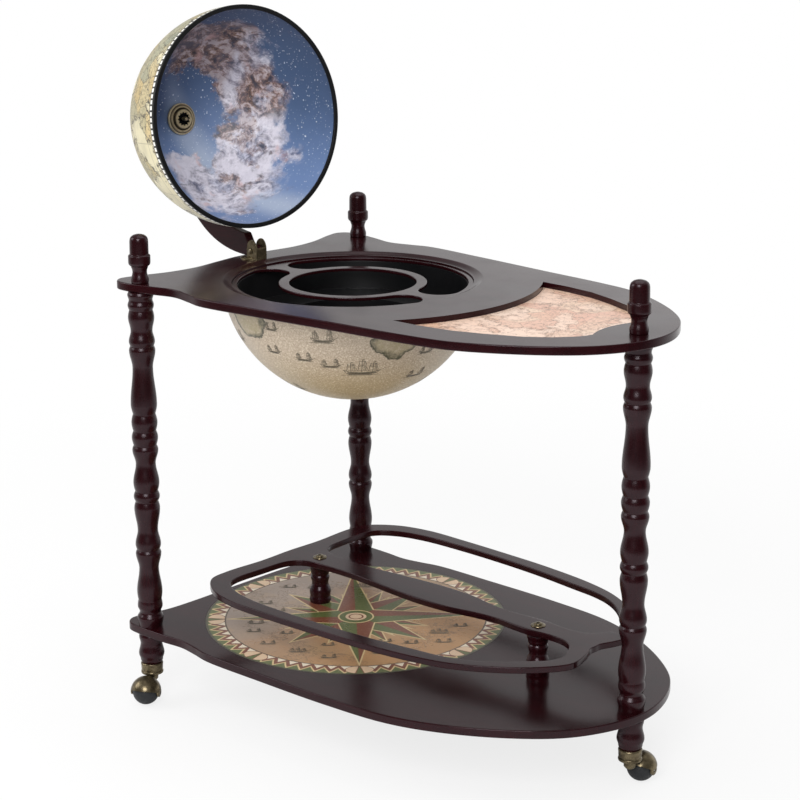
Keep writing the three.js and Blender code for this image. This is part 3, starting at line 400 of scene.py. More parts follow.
@once
def flange_brass(radius, bottom, height):
    """Antique brass brightened as a lit copy, with dark grooves (patina and painted shade) between rubbed rings
    round the lid's axis, and a socket blackened with painted shadow
    """
    finish = Finish("flange_brass")
    place = finish.place()
    x, y, z = finish.axes(place)
    around = (x * x + y * y) ** 0.5 / radius
    blotches = finish.noise(place, 160.0, 4.0, 0.6)
    # Painted light: brass and patina brightened 1.45 times, a lit copy of the same brass
    dark, bright = (toned(colour_of(name), 1.45) for name in ("patina", "brass"))
    groove_patina_and_shade = toned(dark, 0.22)
    # The grooves are darkened as patina and painted shade; the rings between them and at the rim stay bright as
    # rubbed brass and painted highlight
    rings = finish.ramp(
        around + (blotches - 0.5) * 0.04,
        (0.40, bright), (0.56, bright), (0.62, groove_patina_and_shade), (0.70, groove_patina_and_shade), (0.75, bright),
        (0.84, dark), (0.89, groove_patina_and_shade), (0.93, bright), (1.0, bright),
    )
    colour = finish.blend(rings, dark, blotches.smooth(0.5, 0.7) * 0.6)
    # Painted shadow: the socket's walls and floor are turned almost black for the shade inside it
    colour = finish.blend(colour, (0.004, 0.004, 0.004), (z > bottom + height * 0.06) * (around < 0.5))
    finish.bump(blotches, 0.05, 0.0004)
    return finish.use(base_color=colour, metallic=0.45, roughness=0.32 + blotches * 0.1)


@once
def steel(tone=1.0):
    """Zinc-plated steel with a fine crystal grain; a tone below 1 darkens it as painted shade"""
    finish = Finish(f"zinc_steel_{round(tone * 100)}")
    place = finish.place()
    crystals = finish.cells(place, 700.0)
    haze = finish.noise(place, 120.0, 4.0, 0.6)
    bright = toned(colour_of("steel"), tone)
    dull = finish.blend(toned(bright, 0.7), bright, haze.smooth(0.35, 0.65))
    finish.bump(crystals, 0.06, 0.0003)
    return finish.use(base_color=dull, metallic=1.0, roughness=0.3 + haze * 0.15)


@once
def rubber():
    """Black rubber with a little dust"""
    finish = Finish("black_rubber")
    place = finish.place()
    dust = finish.noise(place, 90.0, 6.0, 0.7)
    grain = finish.noise(place, 1400.0, 2.0)
    finish.bump(grain, 0.15, 0.0003)
    colour = finish.blend(colour_of("rubber"), toned(colour_of("rubber"), 1.8), dust.smooth(0.5, 0.8))
    return finish.use(base_color=colour, roughness=0.42 + dust * 0.18)


@once
def black_plastic(gloss=0.32):
    """Black plastic with a fine grain"""
    finish = Finish(f"black_plastic_{round(gloss * 100)}")
    place = finish.place()
    grain = finish.noise(place, 1100.0, 3.0)
    cloud = finish.noise(place, 25.0, 3.0)
    finish.bump(grain, 0.08, 0.0003)
    colour = finish.blend(colour_of("plastic"), toned(colour_of("plastic"), 1.8), cloud)
    return finish.use(base_color=colour, roughness=gloss + cloud * 0.1, specular_ior_level=0.3)


@once
def ink(strength=1.0):
    """Printed ink that fades here and there"""
    finish = Finish(f"map_ink_{round(strength * 100)}")
    fade = finish.noise(finish.place(), 260.0, 4.0, 0.7)
    pale = toned(colour_of("ink"), 2.6 / strength)
    finish.bump(fade, 0.02, 0.0002)
    return finish.use(base_color=finish.blend(colour_of("ink"), pale, fade.smooth(0.35, 0.75)), roughness=0.5)


def old_map(finish, point, scale, paper, threshold, ink_colour):
    """The colour of an old map: tinted regions, shaded coasts, rivers and hills on aged paper"""
    shape = finish.noise(finish.shifted(point, (3.1, 7.4, 1.9)), scale, 7.0, 0.56, 0.25)
    land = shape.smooth(threshold, threshold + 0.006)
    coast = shape.line(threshold + 0.003, 0.0065)
    shading = (1 - (shape - threshold).smooth(0.0, 0.05)) * land
    surf = shape.line(threshold - 0.016, 0.004) * (1 - land)
    region = finish.cells(finish.shifted(point, (9.2, 0.4, 5.5)), scale * 2.3, output="Color")
    hue = finish.grey(region)
    tints = finish.ramp(
        hue,
        (0.0, (0.24, 0.27, 0.15)), (0.3, (0.56, 0.40, 0.15)), (0.5, (0.25, 0.29, 0.22)),
        (0.7, (0.62, 0.47, 0.22)), (1.0, (0.33, 0.29, 0.13)),
    )
    hills = finish.noise(finish.shifted(point, (2.0, 5.0, 3.0)), scale * 17.0, 5.0, 0.7)
    border = finish.cells(finish.shifted(point, (9.2, 0.4, 5.5)), scale * 2.3, "DISTANCE_TO_EDGE")
    rivers = finish.noise(finish.shifted(point, (1.0, 2.0, 8.0)), scale * 5.0, 4.0, 0.6)
    stains = finish.noise(point, scale * 1.3, 4.0, 0.6)
    speckle = finish.noise(point, scale * 130.0, 3.0, 0.8)
    aged = finish.blend(paper, toned(paper, 0.66), stains.smooth(0.4, 0.7) * 0.7)
    colour = finish.blend(aged, tints, land * 0.8)
    colour = finish.blend(colour, toned(paper, 0.6), shading * 0.45)
    lines = coast + surf * 0.4 + land * border.line(0.0, 0.012) * 0.5 + land * rivers.line(0.5, 0.012) * 0.6
    lines = lines + land * hills.smooth(0.52, 0.63) * 0.7
    colour = finish.blend(colour, ink_colour, lines.maths("MINIMUM", 1.0))
    return finish.blend(colour, ink_colour, speckle.smooth(0.52, 0.75) * 0.22)


@once
def dome_print():
    """The lid's outside: old-map paper, and a scale of white and black dashes round the rim"""
    finish = Finish("printed_dome")
    place = finish.place()
    x, y, z = finish.axes(place)
    point = finish.direction(place)
    colour = old_map(finish, point, 2.1, colour_of("paper"), 0.52, colour_of("ink"))
    angle = y.maths("ARCTAN2", x)
    height = finish.axes(point)[2].maths("ARCSINE")
    gore = math.tau / 24
    meridians = (abs((angle / gore) % 1.0 - 0.5) * gore).line(0.0, 0.0035)
    parallels = (abs((height / gore) % 1.0 - 0.5) * gore).line(0.0, 0.0035)
    colour = finish.blend(colour, colour_of("ink"), (meridians + parallels).maths("MINIMUM", 1.0) * 0.4)
    dash = ((angle * (120 / math.tau)) % 1.0).line(0.5, 0.34, 0.08)
    scale_mark = finish.blend((0.008, 0.008, 0.008), (0.86, 0.85, 0.80), dash * (z > 0.0008))
    colour = finish.blend(colour, scale_mark, z < 0.0054)
    colour = finish.blend(colour, colour_of("ink"), z.line(0.0061, 0.0006))
    grain = finish.noise(place, 1500.0, 2.0)
    finish.bump(grain, 0.03, 0.0002)
    return finish.use(base_color=colour, roughness=0.34 + finish.noise(place, 14.0, 3.0) * 0.12)


@once
def bowl_print():
    """The bowl: speckled sea paper, warmer towards the bottom, with a few coasts near the top"""
    finish = Finish("printed_bowl")
    place = finish.place()
    point = finish.direction(place)
    height = finish.axes(point)[2]
    sea = finish.blend((0.46, 0.34, 0.165), colour_of("sea"), height.smooth(-0.95, -0.4))
    ragged = finish.noise(point, 5.0, 7.0, 0.6)
    flatten = 1.25
    flattened = finish.along(point, (1.0, 1.0, flatten))
    near = 1.0
    for azimuth, height_angle, reach in BOWL_COASTS:
        cx, cy, cz = on_sphere(math.radians(azimuth), math.radians(height_angle))
        near = (finish.distance(flattened, (cx, cy, cz * flatten)) - reach).maths("MINIMUM", near)
    shape = near + (ragged - 0.5) * 0.34
    land = 1 - shape.smooth(0.0, 0.008)
    coast = shape.line(0.0, 0.010)
    surf = shape.line(-0.025, 0.012) * 0.9 + shape.line(0.022, 0.004)
    ridges = finish.noise(finish.shifted(point, (2.0, 4.0, 1.0)), 26.0, 5.0, 0.7)
    coarse = finish.noise(place, 420.0, 3.0, 0.75)
    fine = finish.noise(place, 900.0, 2.0, 0.6)
    grains = coarse.smooth(0.47, 0.6) * 0.6 + fine.smooth(0.48, 0.6) * 0.4
    colour = finish.blend(sea, (0.25, 0.185, 0.125), grains * 0.6)
    colour = finish.blend(colour, (0.84, 0.78, 0.60), (1 - coarse.smooth(0.3, 0.47)) * 0.7)
    colour = finish.blend(colour, (0.34, 0.29, 0.16), land * (0.35 + ridges.smooth(0.4, 0.6) * 0.35))
    inshore = (1 - abs(shape).smooth(0.0, 0.07)) * land * (0.3 + ridges.smooth(0.42, 0.58) * 0.7)
    colour = finish.blend(colour, (0.105, 0.10, 0.06), inshore)
    outline = (coast + surf * land * 0.45).maths("MINIMUM", 1.0)
    colour = finish.blend(colour, (0.07, 0.065, 0.042), outline * 0.9)
    finish.bump(fine, 0.03, 0.0002)
    return finish.use(base_color=colour, roughness=0.36 + coarse * 0.08)


@once
def sky_print():
    """The lid's inside: a star sky with a bank of lit cloud round the pole"""
    finish = Finish("printed_sky")
    place = finish.place()
    x, y, _ = finish.axes(place)
    around = (x * x + y * y) ** 0.5
    drift = finish.noise(place, 11.0, 6.0, 0.62)
    billow = finish.noise(place, 24.0, 8.0, 0.62, 0.25)
    swirls = finish.noise(finish.along(place, (1.0, 0.75, 1.0)), 38.0, 10.0, 0.68, 1.5)
    wisps = finish.noise(finish.along(place, (1.0, 0.7, 1.0)), 78.0, 9.0, 0.66, 0.8)
    specks = finish.noise(place, 210.0, 6.0, 0.75)
    upper = (x + y * 0.55 + (drift - 0.5) * 0.08).smooth(-0.06, 0.14)
    sky = finish.blend(colour_of("haze"), colour_of("sky"), upper)
    deep = (1 - (y - 0.01).smooth(-0.06, 0.05)) * (x + 0.03).smooth(-0.02, 0.05)
    sky = finish.blend(sky, (0.036, 0.068, 0.15), deep * 0.9)
    beam = (y + x * 0.55 + 0.012).line(0.0, 0.028, 0.9) * (y + 0.01).smooth(-0.03, 0.03)
    sky = finish.blend(sky, (0.50, 0.58, 0.72), beam * drift.smooth(0.2, 0.55) * 0.9)
    inner = (around + (billow - 0.5) * 0.09 + (drift - 0.5) * 0.07).smooth(0.066, 0.080)
    outer = 1 - (around + (billow - 0.5) * 0.06 + (drift - 0.5) * 0.05).smooth(0.134, 0.150)
    side = (y + (drift - 0.5) * 0.12 + abs(x) * 0.16).smooth(-0.034, -0.006)
    cloud = inner * outer * side * (0.72 + billow.smooth(0.3, 0.55) * 0.28)
    relief = swirls * 0.55 + wisps * 0.27 + specks * 0.18
    light = finish.ramp(
        relief,
        (0.40, (0.10, 0.09, 0.12)), (0.46, (0.34, 0.31, 0.36)), (0.50, (0.60, 0.56, 0.63)),
        (0.56, (0.92, 0.88, 0.94)),
    )
    rust = finish.ramp(
        relief,
        (0.41, (0.022, 0.014, 0.017)), (0.46, (0.10, 0.058, 0.046)), (0.50, (0.31, 0.17, 0.115)),
        (0.55, (0.64, 0.52, 0.50)),
    )
    high = (x - 0.028 + (billow - 0.5) * 0.09).smooth(-0.012, 0.012)
    high = high * (1 - (y - 0.064 + (billow - 0.5) * 0.05).smooth(0.0, 0.018))
    right = 1 - finish.distance(place, (0.030, 0.122, 0.115)).smooth(0.034, 0.052)
    veins = finish.noise(finish.shifted(place, (0.5, 0.9, 0.4)), 19.0, 5.0, 0.6).smooth(0.53, 0.60) * 0.8
    patch = (high + right * billow.smooth(0.34, 0.5) + veins).maths("MINIMUM", 1.0)
    colour = finish.blend(sky, finish.blend(light, rust, patch), cloud)
    shade = finish.noise(finish.shifted(place, (0.3, 0.1, 0.2)), 20.0, 4.0).smooth(0.45, 0.62)
    colour = finish.blend(colour, (0.24, 0.22, 0.28), shade * cloud * x.smooth(-0.02, 0.04) * 0.35)
    bright = billow.smooth(0.40, 0.58) * (0.03 - x).smooth(0.0, 0.07) * (1 - veins)
    colour = finish.blend(colour, (0.86, 0.82, 0.90), bright * cloud * 0.85)
    pink = finish.noise(finish.shifted(place, (0.7, 0.1, 0.2)), 30.0, 3.0).smooth(0.57, 0.70)
    colour = finish.blend(colour, (0.72, 0.42, 0.38), pink * cloud * 0.5)
    small = finish.cells(place, 230.0)
    middle = finish.cells(finish.shifted(place, (0.1, 0.6, 0.3)), 130.0)
    large = finish.cells(finish.shifted(place, (0.7, 0.2, 0.4)), 42.0)
    rarity = finish.grey(finish.cells(place, 230.0, output="Color"))
    scarce = finish.grey(finish.cells(finish.shifted(place, (0.1, 0.6, 0.3)), 130.0, output="Color"))
    stars = (1 - small.smooth(0.10, 0.27)) * rarity.smooth(0.3, 0.8) * 0.75
    stars = stars + (1 - middle.smooth(0.08, 0.18)) * scarce.smooth(0.5, 0.72)
    stars = stars + (1 - large.smooth(0.03, 0.07))
    colour = finish.blend(colour, (0.86, 0.91, 0.97), stars.maths("MINIMUM", 1.0) * (1 - cloud * 0.85))
    finish.bump(finish.noise(place, 900.0, 2.0), 0.02, 0.0002)
    return finish.use(base_color=colour, roughness=0.42 + drift * 0.1)


@once
def panel_print():
    """The map panel: peach paper with tinted coasts, region lines and a fine grid"""
    finish = Finish("printed_panel")
    place = finish.place()
    x, y, _ = finish.axes(place)
    shape = finish.noise(finish.shifted(place, (0.31, 0.12, 0.0)), 13.0, 8.0, 0.6, 0.4)
    land = shape.smooth(0.49, 0.495)
    blush = finish.noise(place, 6.0, 4.0, 0.55)
    hue = finish.grey(finish.cells(finish.shifted(place, (0.2, 0.5, 0.1)), 26.0, output="Color"))
    pale = finish.blend(colour_of("panel"), (0.90, 0.70, 0.57), blush.smooth(0.35, 0.65))
    tints = finish.ramp(
        hue,
        (0.1, (0.74, 0.46, 0.28)), (0.45, (0.68, 0.34, 0.24)), (0.7, (0.82, 0.62, 0.45)),
        (1.0, (0.60, 0.33, 0.21)),
    )
    colour = finish.blend(pale, tints, land * 0.55)
    border = finish.cells(finish.shifted(place, (0.2, 0.5, 0.1)), 26.0, "DISTANCE_TO_EDGE")
    rivers = finish.noise(place, 48.0, 6.0, 0.65)
    hills = finish.noise(place, 210.0, 5.0, 0.7)
    lines = shape.line(0.4925, 0.007) * 0.75 + shape.line(0.474, 0.004) * 0.3
    lines = lines + land * border.line(0.0, 0.02) * 0.3
    lines = lines + rivers.line(0.5, 0.016) * 0.5 + land * hills.smooth(0.52, 0.62) * 0.4
    grid = (abs((x * 18.0) % 1.0 - 0.5)).line(0.0, 0.006) + (abs((y * 18.0) % 1.0 - 0.5)).line(0.0, 0.006)
    lines = lines + grid * 0.35
    colour = finish.blend(colour, (0.23, 0.115, 0.07), lines.maths("MINIMUM", 1.0) * 0.9)
    finish.bump(finish.noise(place, 1200.0, 2.0), 0.02, 0.0002)
    return finish.use(base_color=colour, roughness=0.3 + blush * 0.12)


def compass_star(angle, around, count, turn, tip, root):
    """Rays of a compass star: where they are, their outline, and which half of each ray"""
    period = math.tau / count
    signed = ((angle - turn) / period + 0.5) % 1.0 - 0.5
    folded = abs(signed) * period
    along = around * folded.maths("COSINE")
    aside = around * folded.maths("SINE")
    half = period / 2
    root_x, root_y = root * math.cos(half), root * math.sin(half)
    span = math.hypot(root_x - tip, root_y)
    # Distance from the ray's edge, positive inside it
    inside = (aside * ((tip - root_x) / span) + (along - tip) * (root_y / span)) * -1.0
    return inside.smooth(0.0, 0.0004), inside.line(0.0, 0.0011), signed > 0.0


@once
def medallion_print(radius):
    """The shelf's disc: a compass star on sepia paper in a band of zigzags and petals"""
    finish = Finish("printed_medallion")
    place = finish.place()
    x, y, _ = finish.axes(place)
    around = (x * x + y * y) ** 0.5
    angle = y.maths("ARCTAN2", x)
    green, red = (0.105, 0.13, 0.04), (0.19, 0.06, 0.032)
    cream, peach = (0.66, 0.50, 0.26), (0.70, 0.50, 0.33)
    stains = finish.noise(place, 9.0, 6.0, 0.62)
    engraving = finish.noise(finish.along(place, (1.0, 3.0, 1.0)), 160.0, 4.0, 0.7)
    paper = finish.blend(colour_of("sepia"), (0.36, 0.28, 0.23), (x * -3.2 + stains - 0.1).smooth(0.0, 0.9))
    paper = finish.blend(paper, (0.55, 0.34, 0.15), stains.smooth(0.5, 0.72) * 0.6)
    paper = finish.blend(paper, (0.13, 0.09, 0.06), engraving.smooth(0.53, 0.72) * 0.4)
    coast = finish.noise(finish.shifted(place, (0.8, 0.3, 0.0)), 14.0, 6.0, 0.6)
    paper = finish.blend(paper, (0.15, 0.10, 0.06), (coast.line(0.56, 0.008) + coast.line(0.60, 0.005)) * 0.5)
    colour = paper
    for count, turn, tip, root in (
        (16, math.pi / 16, radius * 0.42, radius * 0.2),
        (8, math.pi / 8, radius * 0.5, radius * 0.2),
        (4, 0.0, radius * 0.62, radius * 0.19),
        (4, math.pi / 4, radius * 0.845, radius * 0.17),
    ):
        shown, outline, left = compass_star(angle, around, count, turn, tip, root)
        colour = finish.blend(colour, finish.blend(green, red, left), shown)
        colour = finish.blend(colour, cream, outline)
    colour = finish.blend(colour, green, around < radius * 0.115)
    colour = finish.blend(colour, cream, around.line(radius * 0.115, 0.0012))
    colour = finish.blend(colour, peach, around < radius * 0.07)
    colour = finish.blend(colour, red, around.line(radius * 0.045, 0.0012))

    inner = radius * 0.868
    outer = radius * 0.985
    rise = (around - inner) / (outer - inner)
    steps = 64
    tooth = abs((angle * (steps / math.tau)) % 1.0 - 0.5) * 2.0
    zigzag = tooth * 0.62 + 0.34
    band = finish.blend(green, red, rise < zigzag)
    band = finish.blend(band, (0.80, 0.70, 0.55), rise + 0.46 < zigzag)
    band = finish.blend(band, cream, (rise - zigzag).line(0.0, 0.085))
    petal = abs((angle / (math.tau / 8) + 0.5) % 1.0 - 0.5) * (math.tau / 8 * radius)
    bulge = (1 - (rise * 2.0 - 1.0) * (rise * 2.0 - 1.0)) ** 0.5 * 0.021
    band = finish.blend(band, red, petal < bulge + 0.0016)
    band = finish.blend(band, peach, petal < bulge)
    spike = rise * 0.0055
    band = finish.blend(band, red, petal < spike + 0.0016)
    band = finish.blend(band, green, petal < spike)
    colour = finish.blend(colour, band, around > inner)
    colour = finish.blend(colour, (0.09, 0.06, 0.035), around.line(inner, 0.0011))
    colour = finish.blend(colour, (0.052, 0.05, 0.026), around > outer)
    fade = finish.noise(place, 300.0, 4.0, 0.7)
    colour = finish.blend(colour, (0.40, 0.31, 0.21), fade.smooth(0.45, 0.8) * 0.35)
    finish.bump(fade, 0.02, 0.0002)
    return finish.use(base_color=colour, roughness=0.24 + stains * 0.08, specular_ior_level=0.32)


# Shapes


def new_piece(name, data):
    piece = bpy.data.objects.new(name, data)
    bpy.context.scene.collection.objects.link(piece)
    return piece


def settled(piece):
    """The piece as a plain mesh, with its curve or its modifiers worked in"""
    bpy.context.view_layer.update()
    graph = bpy.context.evaluated_depsgraph_get()
    seen = piece.evaluated_get(graph)
    mesh = bpy.data.meshes.new_from_object(seen, preserve_all_data_layers=True, depsgraph=graph)
    name = piece.name
    bpy.data.objects.remove(piece)
    mesh.name = name
    return new_piece(name, mesh)


def cleaned(piece, merge=1e-6):
    """Doubled corners merged and all faces turned outwards"""
    work = bmesh.new()
    work.from_mesh(piece.data)
    bmesh.ops.remove_doubles(work, verts=work.verts, dist=merge)
    bmesh.ops.recalc_face_normals(work, faces=work.faces)
    work.to_mesh(piece.data)
    work.free()
    return piece


def spin(name, profile, sides=96, matrix=None):
    """A turned piece about Z from (radius, height) points, from axis to axis or round a closed loop"""
    closed = profile[0][0] > 0 and profile[0] == profile[-1]
    points = profile[:-1] if closed else profile
    corners, rings = [], []
    for radius, height in points:
        count = 1 if radius == 0 else sides
        rings.append([len(corners) + step for step in range(count)])
        for step in range(count):
            turn = math.tau * step / sides
            corners.append((radius * math.cos(turn), radius * math.sin(turn), height))
    faces = []
    for lower, upper in zip(rings, rings[1:] + (rings[:1] if closed else [])):
        for step in range(sides):
            following = (step + 1) % sides
            if len(lower) == 1 and len(upper) == 1:
                continue
            if len(lower) == 1:
                faces.append((lower[0], upper[following], upper[step]))
            elif len(upper) == 1:
                faces.append((lower[step], lower[following], upper[0]))
            else:
                faces.append((lower[step], lower[following], upper[following], upper[step]))
    mesh = bpy.data.meshes.new(name)
    mesh.from_pydata(corners, [], faces)
    piece = cleaned(new_piece(name, mesh), 1e-8)
    if matrix:
        piece.data.transform(matrix)
    return piece


def rod_profile(radius, bottom, top):
    """(radius, height) points of a plain rod or bore"""
    return [(0, bottom), (radius, bottom), (radius, top), (0, top)]


def ring_profile(inner, outer, bottom, top):
    """(radius, height) points round a plain ring"""
    return [(inner, bottom), (outer, bottom), (outer, top), (inner, top), (inner, bottom)]


def both_ends(upper):
    """A profile whose lower end repeats its upper end, upside down"""
    return [*((radius, -height) for radius, height in reversed(upper)), *upper]


def turned_metal(points, seat=0.0, radius=0.0):
    """(radius, height) points of a table in millimetres, from a seat and a radius"""
    return [(radius + out * MM, seat + up * MM) for out, up in points]


def slab(name, loops, bottom, thickness, edge=0.0):
    """A flat piece with rounded edges from closed outlines in plan; all but the first are holes"""
    curve = bpy.data.curves.new(name, "CURVE")
    curve.dimensions = "2D"
    curve.fill_mode = "BOTH"
    curve.extrude = thickness / 2 - edge
    curve.bevel_depth = edge
    curve.bevel_resolution = 3
    curve.offset = -edge
    for loop in loops:
        spline = curve.splines.new("POLY")
        spline.points.add(len(loop) - 1)
        for point, (x, y) in zip(spline.points, loop):
            point.co = (x, y, 0.0, 1.0)
        spline.use_cyclic_u = True
    piece = cleaned(settled(new_piece(name, curve)))
    piece.data.transform(Matrix.Translation((0.0, 0.0, bottom + thickness / 2)))
    return piece


def block(name, low, high):
    work = bmesh.new()
    bmesh.ops.create_cube(work, size=1.0)
    mesh = bpy.data.meshes.new(name)
    work.to_mesh(mesh)
    work.free()
    size = Vector(high) - Vector(low)
    middle = (Vector(high) + Vector(low)) / 2
    mesh.transform(Matrix.Translation(middle) @ Matrix.Diagonal((*size, 1.0)))
    return new_piece(name, mesh)


def joined(piece, others, operation):
    """Cuts other solids from a piece, adds them to it or keeps what they share, and removes them"""
    for other in others:
        change = piece.modifiers.new("join", "BOOLEAN")
        change.operation = operation
        change.solver = "EXACT"
        change.object = other
        piece = settled(piece)
        bpy.data.objects.remove(other)
    return piece


def softened(piece, width, segments=2, angle=35):
    """Edges sharper than an angle, rounded by a bevel"""
    bevel = piece.modifiers.new("soften", "BEVEL")
    bevel.width = width
    bevel.segments = segments
    bevel.limit_method = "ANGLE"
    bevel.angle_limit = math.radians(angle)
    bevel.miter_outer = "MITER_ARC"
    return settled(piece)


def shaded(piece, angle=38):
    """Smooth shading that keeps sharp edges, weighted so that flat faces stay flat"""
    piece.data.shade_smooth()
    piece.data.set_sharp_from_angle(angle=math.radians(angle))
    weigh = piece.modifiers.new("weigh", "WEIGHTED_NORMAL")
    weigh.keep_sharp = True
    return settled(piece)


def dress(piece, material, node, matrix=None, angle=38):
    """Gives a piece its finish; it rides and stands for the CAD node that it is named after"""
    piece = shaded(piece, angle)
    piece.name = f"{node}_finished"
    piece.data.name = piece.name
    piece.data.materials.clear()
    piece.data.materials.append(material)
    if matrix:
        piece.matrix_world = matrix
    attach(piece, BODY_OF[node])
    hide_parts(node)
    return piece


def print_on(piece, material, node, matrix):
    """Gives a thin print its ink; it rides with the CAD node that it lies on"""
    piece.data.materials.append(material)
    piece.matrix_world = matrix
    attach(piece, BODY_OF[node])


def smooth_loop(points, steps=10):
    """A closed centripetal Catmull-Rom curve through points"""
    loop = []
    count = len(points)
    for index in range(count):
        p0, p1, p2, p3 = (Vector(points[(index + shift) % count]) for shift in (-1, 0, 1, 2))
        d0, d1, d2 = ((b - a).length ** 0.5 for a, b in ((p0, p1), (p1, p2), (p2, p3)))
        out = ((p1 - p0) / d0 - (p2 - p0) / (d0 + d1) + (p2 - p1) / d1) * d1
        into = ((p2 - p1) / d1 - (p3 - p1) / (d1 + d2) + (p3 - p2) / d2) * d1
        square = 3 * (p2 - p1) - 2 * out - into
        cube = 2 * (p1 - p2) + out + into
        for step in range(steps):
            t = step / steps
            loop.append(tuple(p1 + out * t + square * t**2 + cube * t**3))
    return loop


def mirrored(half):
    """A closed list of points from one half, mirrored over the long axis"""
    return [*half, *((x, -y) for x, y in reversed(half[1:-1]))]


def arc(centre_x, centre_y, radius, start, stop, steps):
    """Points of an arc, with its angles in degrees"""
    angles = [math.radians(start + (stop - start) * step / steps) for step in range(steps + 1)]
    return [(centre_x + radius * math.cos(a), centre_y + radius * math.sin(a)) for a in angles]


def circle(centre_x, centre_y, radius, sides=96):
    return arc(centre_x, centre_y, radius, 0.0, 360.0, sides)[:-1]


def moved_in(points, distance):
    """A closed outline moved inwards, corner by corner"""
    result = []
    for index, point in enumerate(points):
        here = Vector(point)
        into = (here - Vector(points[index - 1])).normalized()
        away = (Vector(points[(index + 1) % len(points)]) - here).normalized()
        normal = Vector((-(into.y + away.y), into.x + away.x)) / (1 + into.dot(away))
        result.append(tuple(here + normal * distance))
    return result


def turned_outline(stations, bottom, height, radius, steps=8):
    """(radius, height) points through the stations of a turning, from its foot up.

    A station has a height share, a radius share and its form: a peak, a round neck or a sharp cut.
    """
    points = []
    for (z, r, form), (next_z, next_r, next_form) in zip(stations, stations[1:]):
        valley = next_form if form == "peak" else form
        for step in range(steps):
            t = step / steps
            if form == next_form:
                share = (1 - math.cos(math.pi * t)) / 2
                value = r + (next_r - r) * share
            else:
                rise = 1 - t if form == "peak" else t
                share = (1 - math.cos(rise * math.pi)) / 2
                if valley == "cut":
                    share = math.sin(rise * math.pi / 2)
                value = min(r, next_r) + abs(next_r - r) * share
            points.append((value * radius, bottom + (z + (next_z - z) * t) * height))
    last = stations[-1]
    return [*points, (last[1] * radius, bottom + last[0] * height)]


def turning(name, stations, bottom, height, radius):
    """A turned wooden piece, closed flat at both ends"""
    outline = turned_outline(stations, bottom, height, radius)
    top = bottom + height
    profile = [(0, bottom), (outline[0][0], bottom), *outline, (outline[-1][0], top), (0, top)]
    return spin(name, profile, 72)


def shell_points(radius, depth, from_share, to_radius, steps):
    """(radius, height) points of a shell from its rim to its pole"""
    start, stop = math.asin(from_share), math.acos(to_radius / radius)
    angles = [start + (stop - start) * step / steps for step in range(steps + 1)]
    return [(radius * math.cos(a), depth * math.sin(a)) for a in angles]


def inked(name, strokes, place, step=0.0016):
    """Thin ribbons of print on a surface.

    A stroke has its width and its points, and place puts a flat point on the surface.
    """
    corners, faces = [], []
    for width, points in strokes:
        path = [Vector(points[0])]
        for a, b in zip(points, points[1:]):
            a, b = Vector(a), Vector(b)
            count = max(1, math.ceil((b - a).length / step))
            path += [a.lerp(b, (index + 1) / count) for index in range(count)]
        for index, point in enumerate(path):
            ahead = path[min(index + 1, len(path) - 1)] - path[max(index - 1, 0)]
            side = Vector((-ahead.y, ahead.x)).normalized() * width / 2
            corners += [place(point + side), place(point - side)]
            if index:
                last = len(corners)
                faces.append((last - 4, last - 3, last - 1, last - 2))
    mesh = bpy.data.meshes.new(name)
    mesh.from_pydata(corners, [], faces)
    return new_piece(name, mesh)


def ship_strokes(size, masts):
    """A small sailing ship of pen strokes, size from stern to bow"""
    strokes = []

    def stroke(width, *points):
        strokes.append((max(width * size, 0.0007), [(x * size, y * size) for x, y in points]))

    stroke(0.018, (-0.5, 0.10), (-0.44, -0.02), (-0.36, -0.10), (0.30, -0.11), (0.42, -0.03), (0.52, 0.08))
    stroke(0.022, (-0.5, 0.10), (-0.34, 0.02), (0.0, -0.02), (0.36, 0.01), (0.52, 0.08))
    stroke(0.045, (-0.40, -0.02), (0.0, -0.055), (0.40, -0.02))
    stroke(0.030, (-0.36, -0.075), (0.30, -0.085))
    stroke(0.012, (-0.58, -0.13), (-0.2, -0.145), (0.2, -0.14), (0.5, -0.13))
    stroke(0.014, (0.46, 0.05), (0.66, 0.15))
    for index in range(masts):
        x = -0.3 + 0.6 * (index / (masts - 1) if masts > 1 else 0.5)
        tall = 0.5 if index == masts // 2 else 0.4
        stroke(0.018, (x, 0.0), (x, tall))
        for low, high, wide in ((0.06, 0.24, 0.13), (0.27, tall - 0.04, 0.10)):
            stroke(0.013, (x - wide, low), (x - wide * 0.7, (low + high) / 2), (x - wide * 0.8, high))
            stroke(0.013, (x - wide * 0.8, high), (x + wide * 0.8, high))
            stroke(0.013, (x + wide, low), (x + wide * 1.15, (low + high) / 2), (x + wide * 0.8, high))
            stroke(0.013, (x - wide, low), (x, low + 0.03), (x + wide, low))
            stroke(0.008, (x + wide * 0.4, low + 0.02), (x + wide * 0.5, high))
            stroke(0.008, (x + wide * 0.75, low + 0.02), (x + wide * 0.72, high))
        stroke(0.010, (x, tall), (x + 0.07, tall + 0.02), (x, tall + 0.035))
    return strokes


# Outlines of the boards, the panel and the rail: a share of a length along the table and of a half width

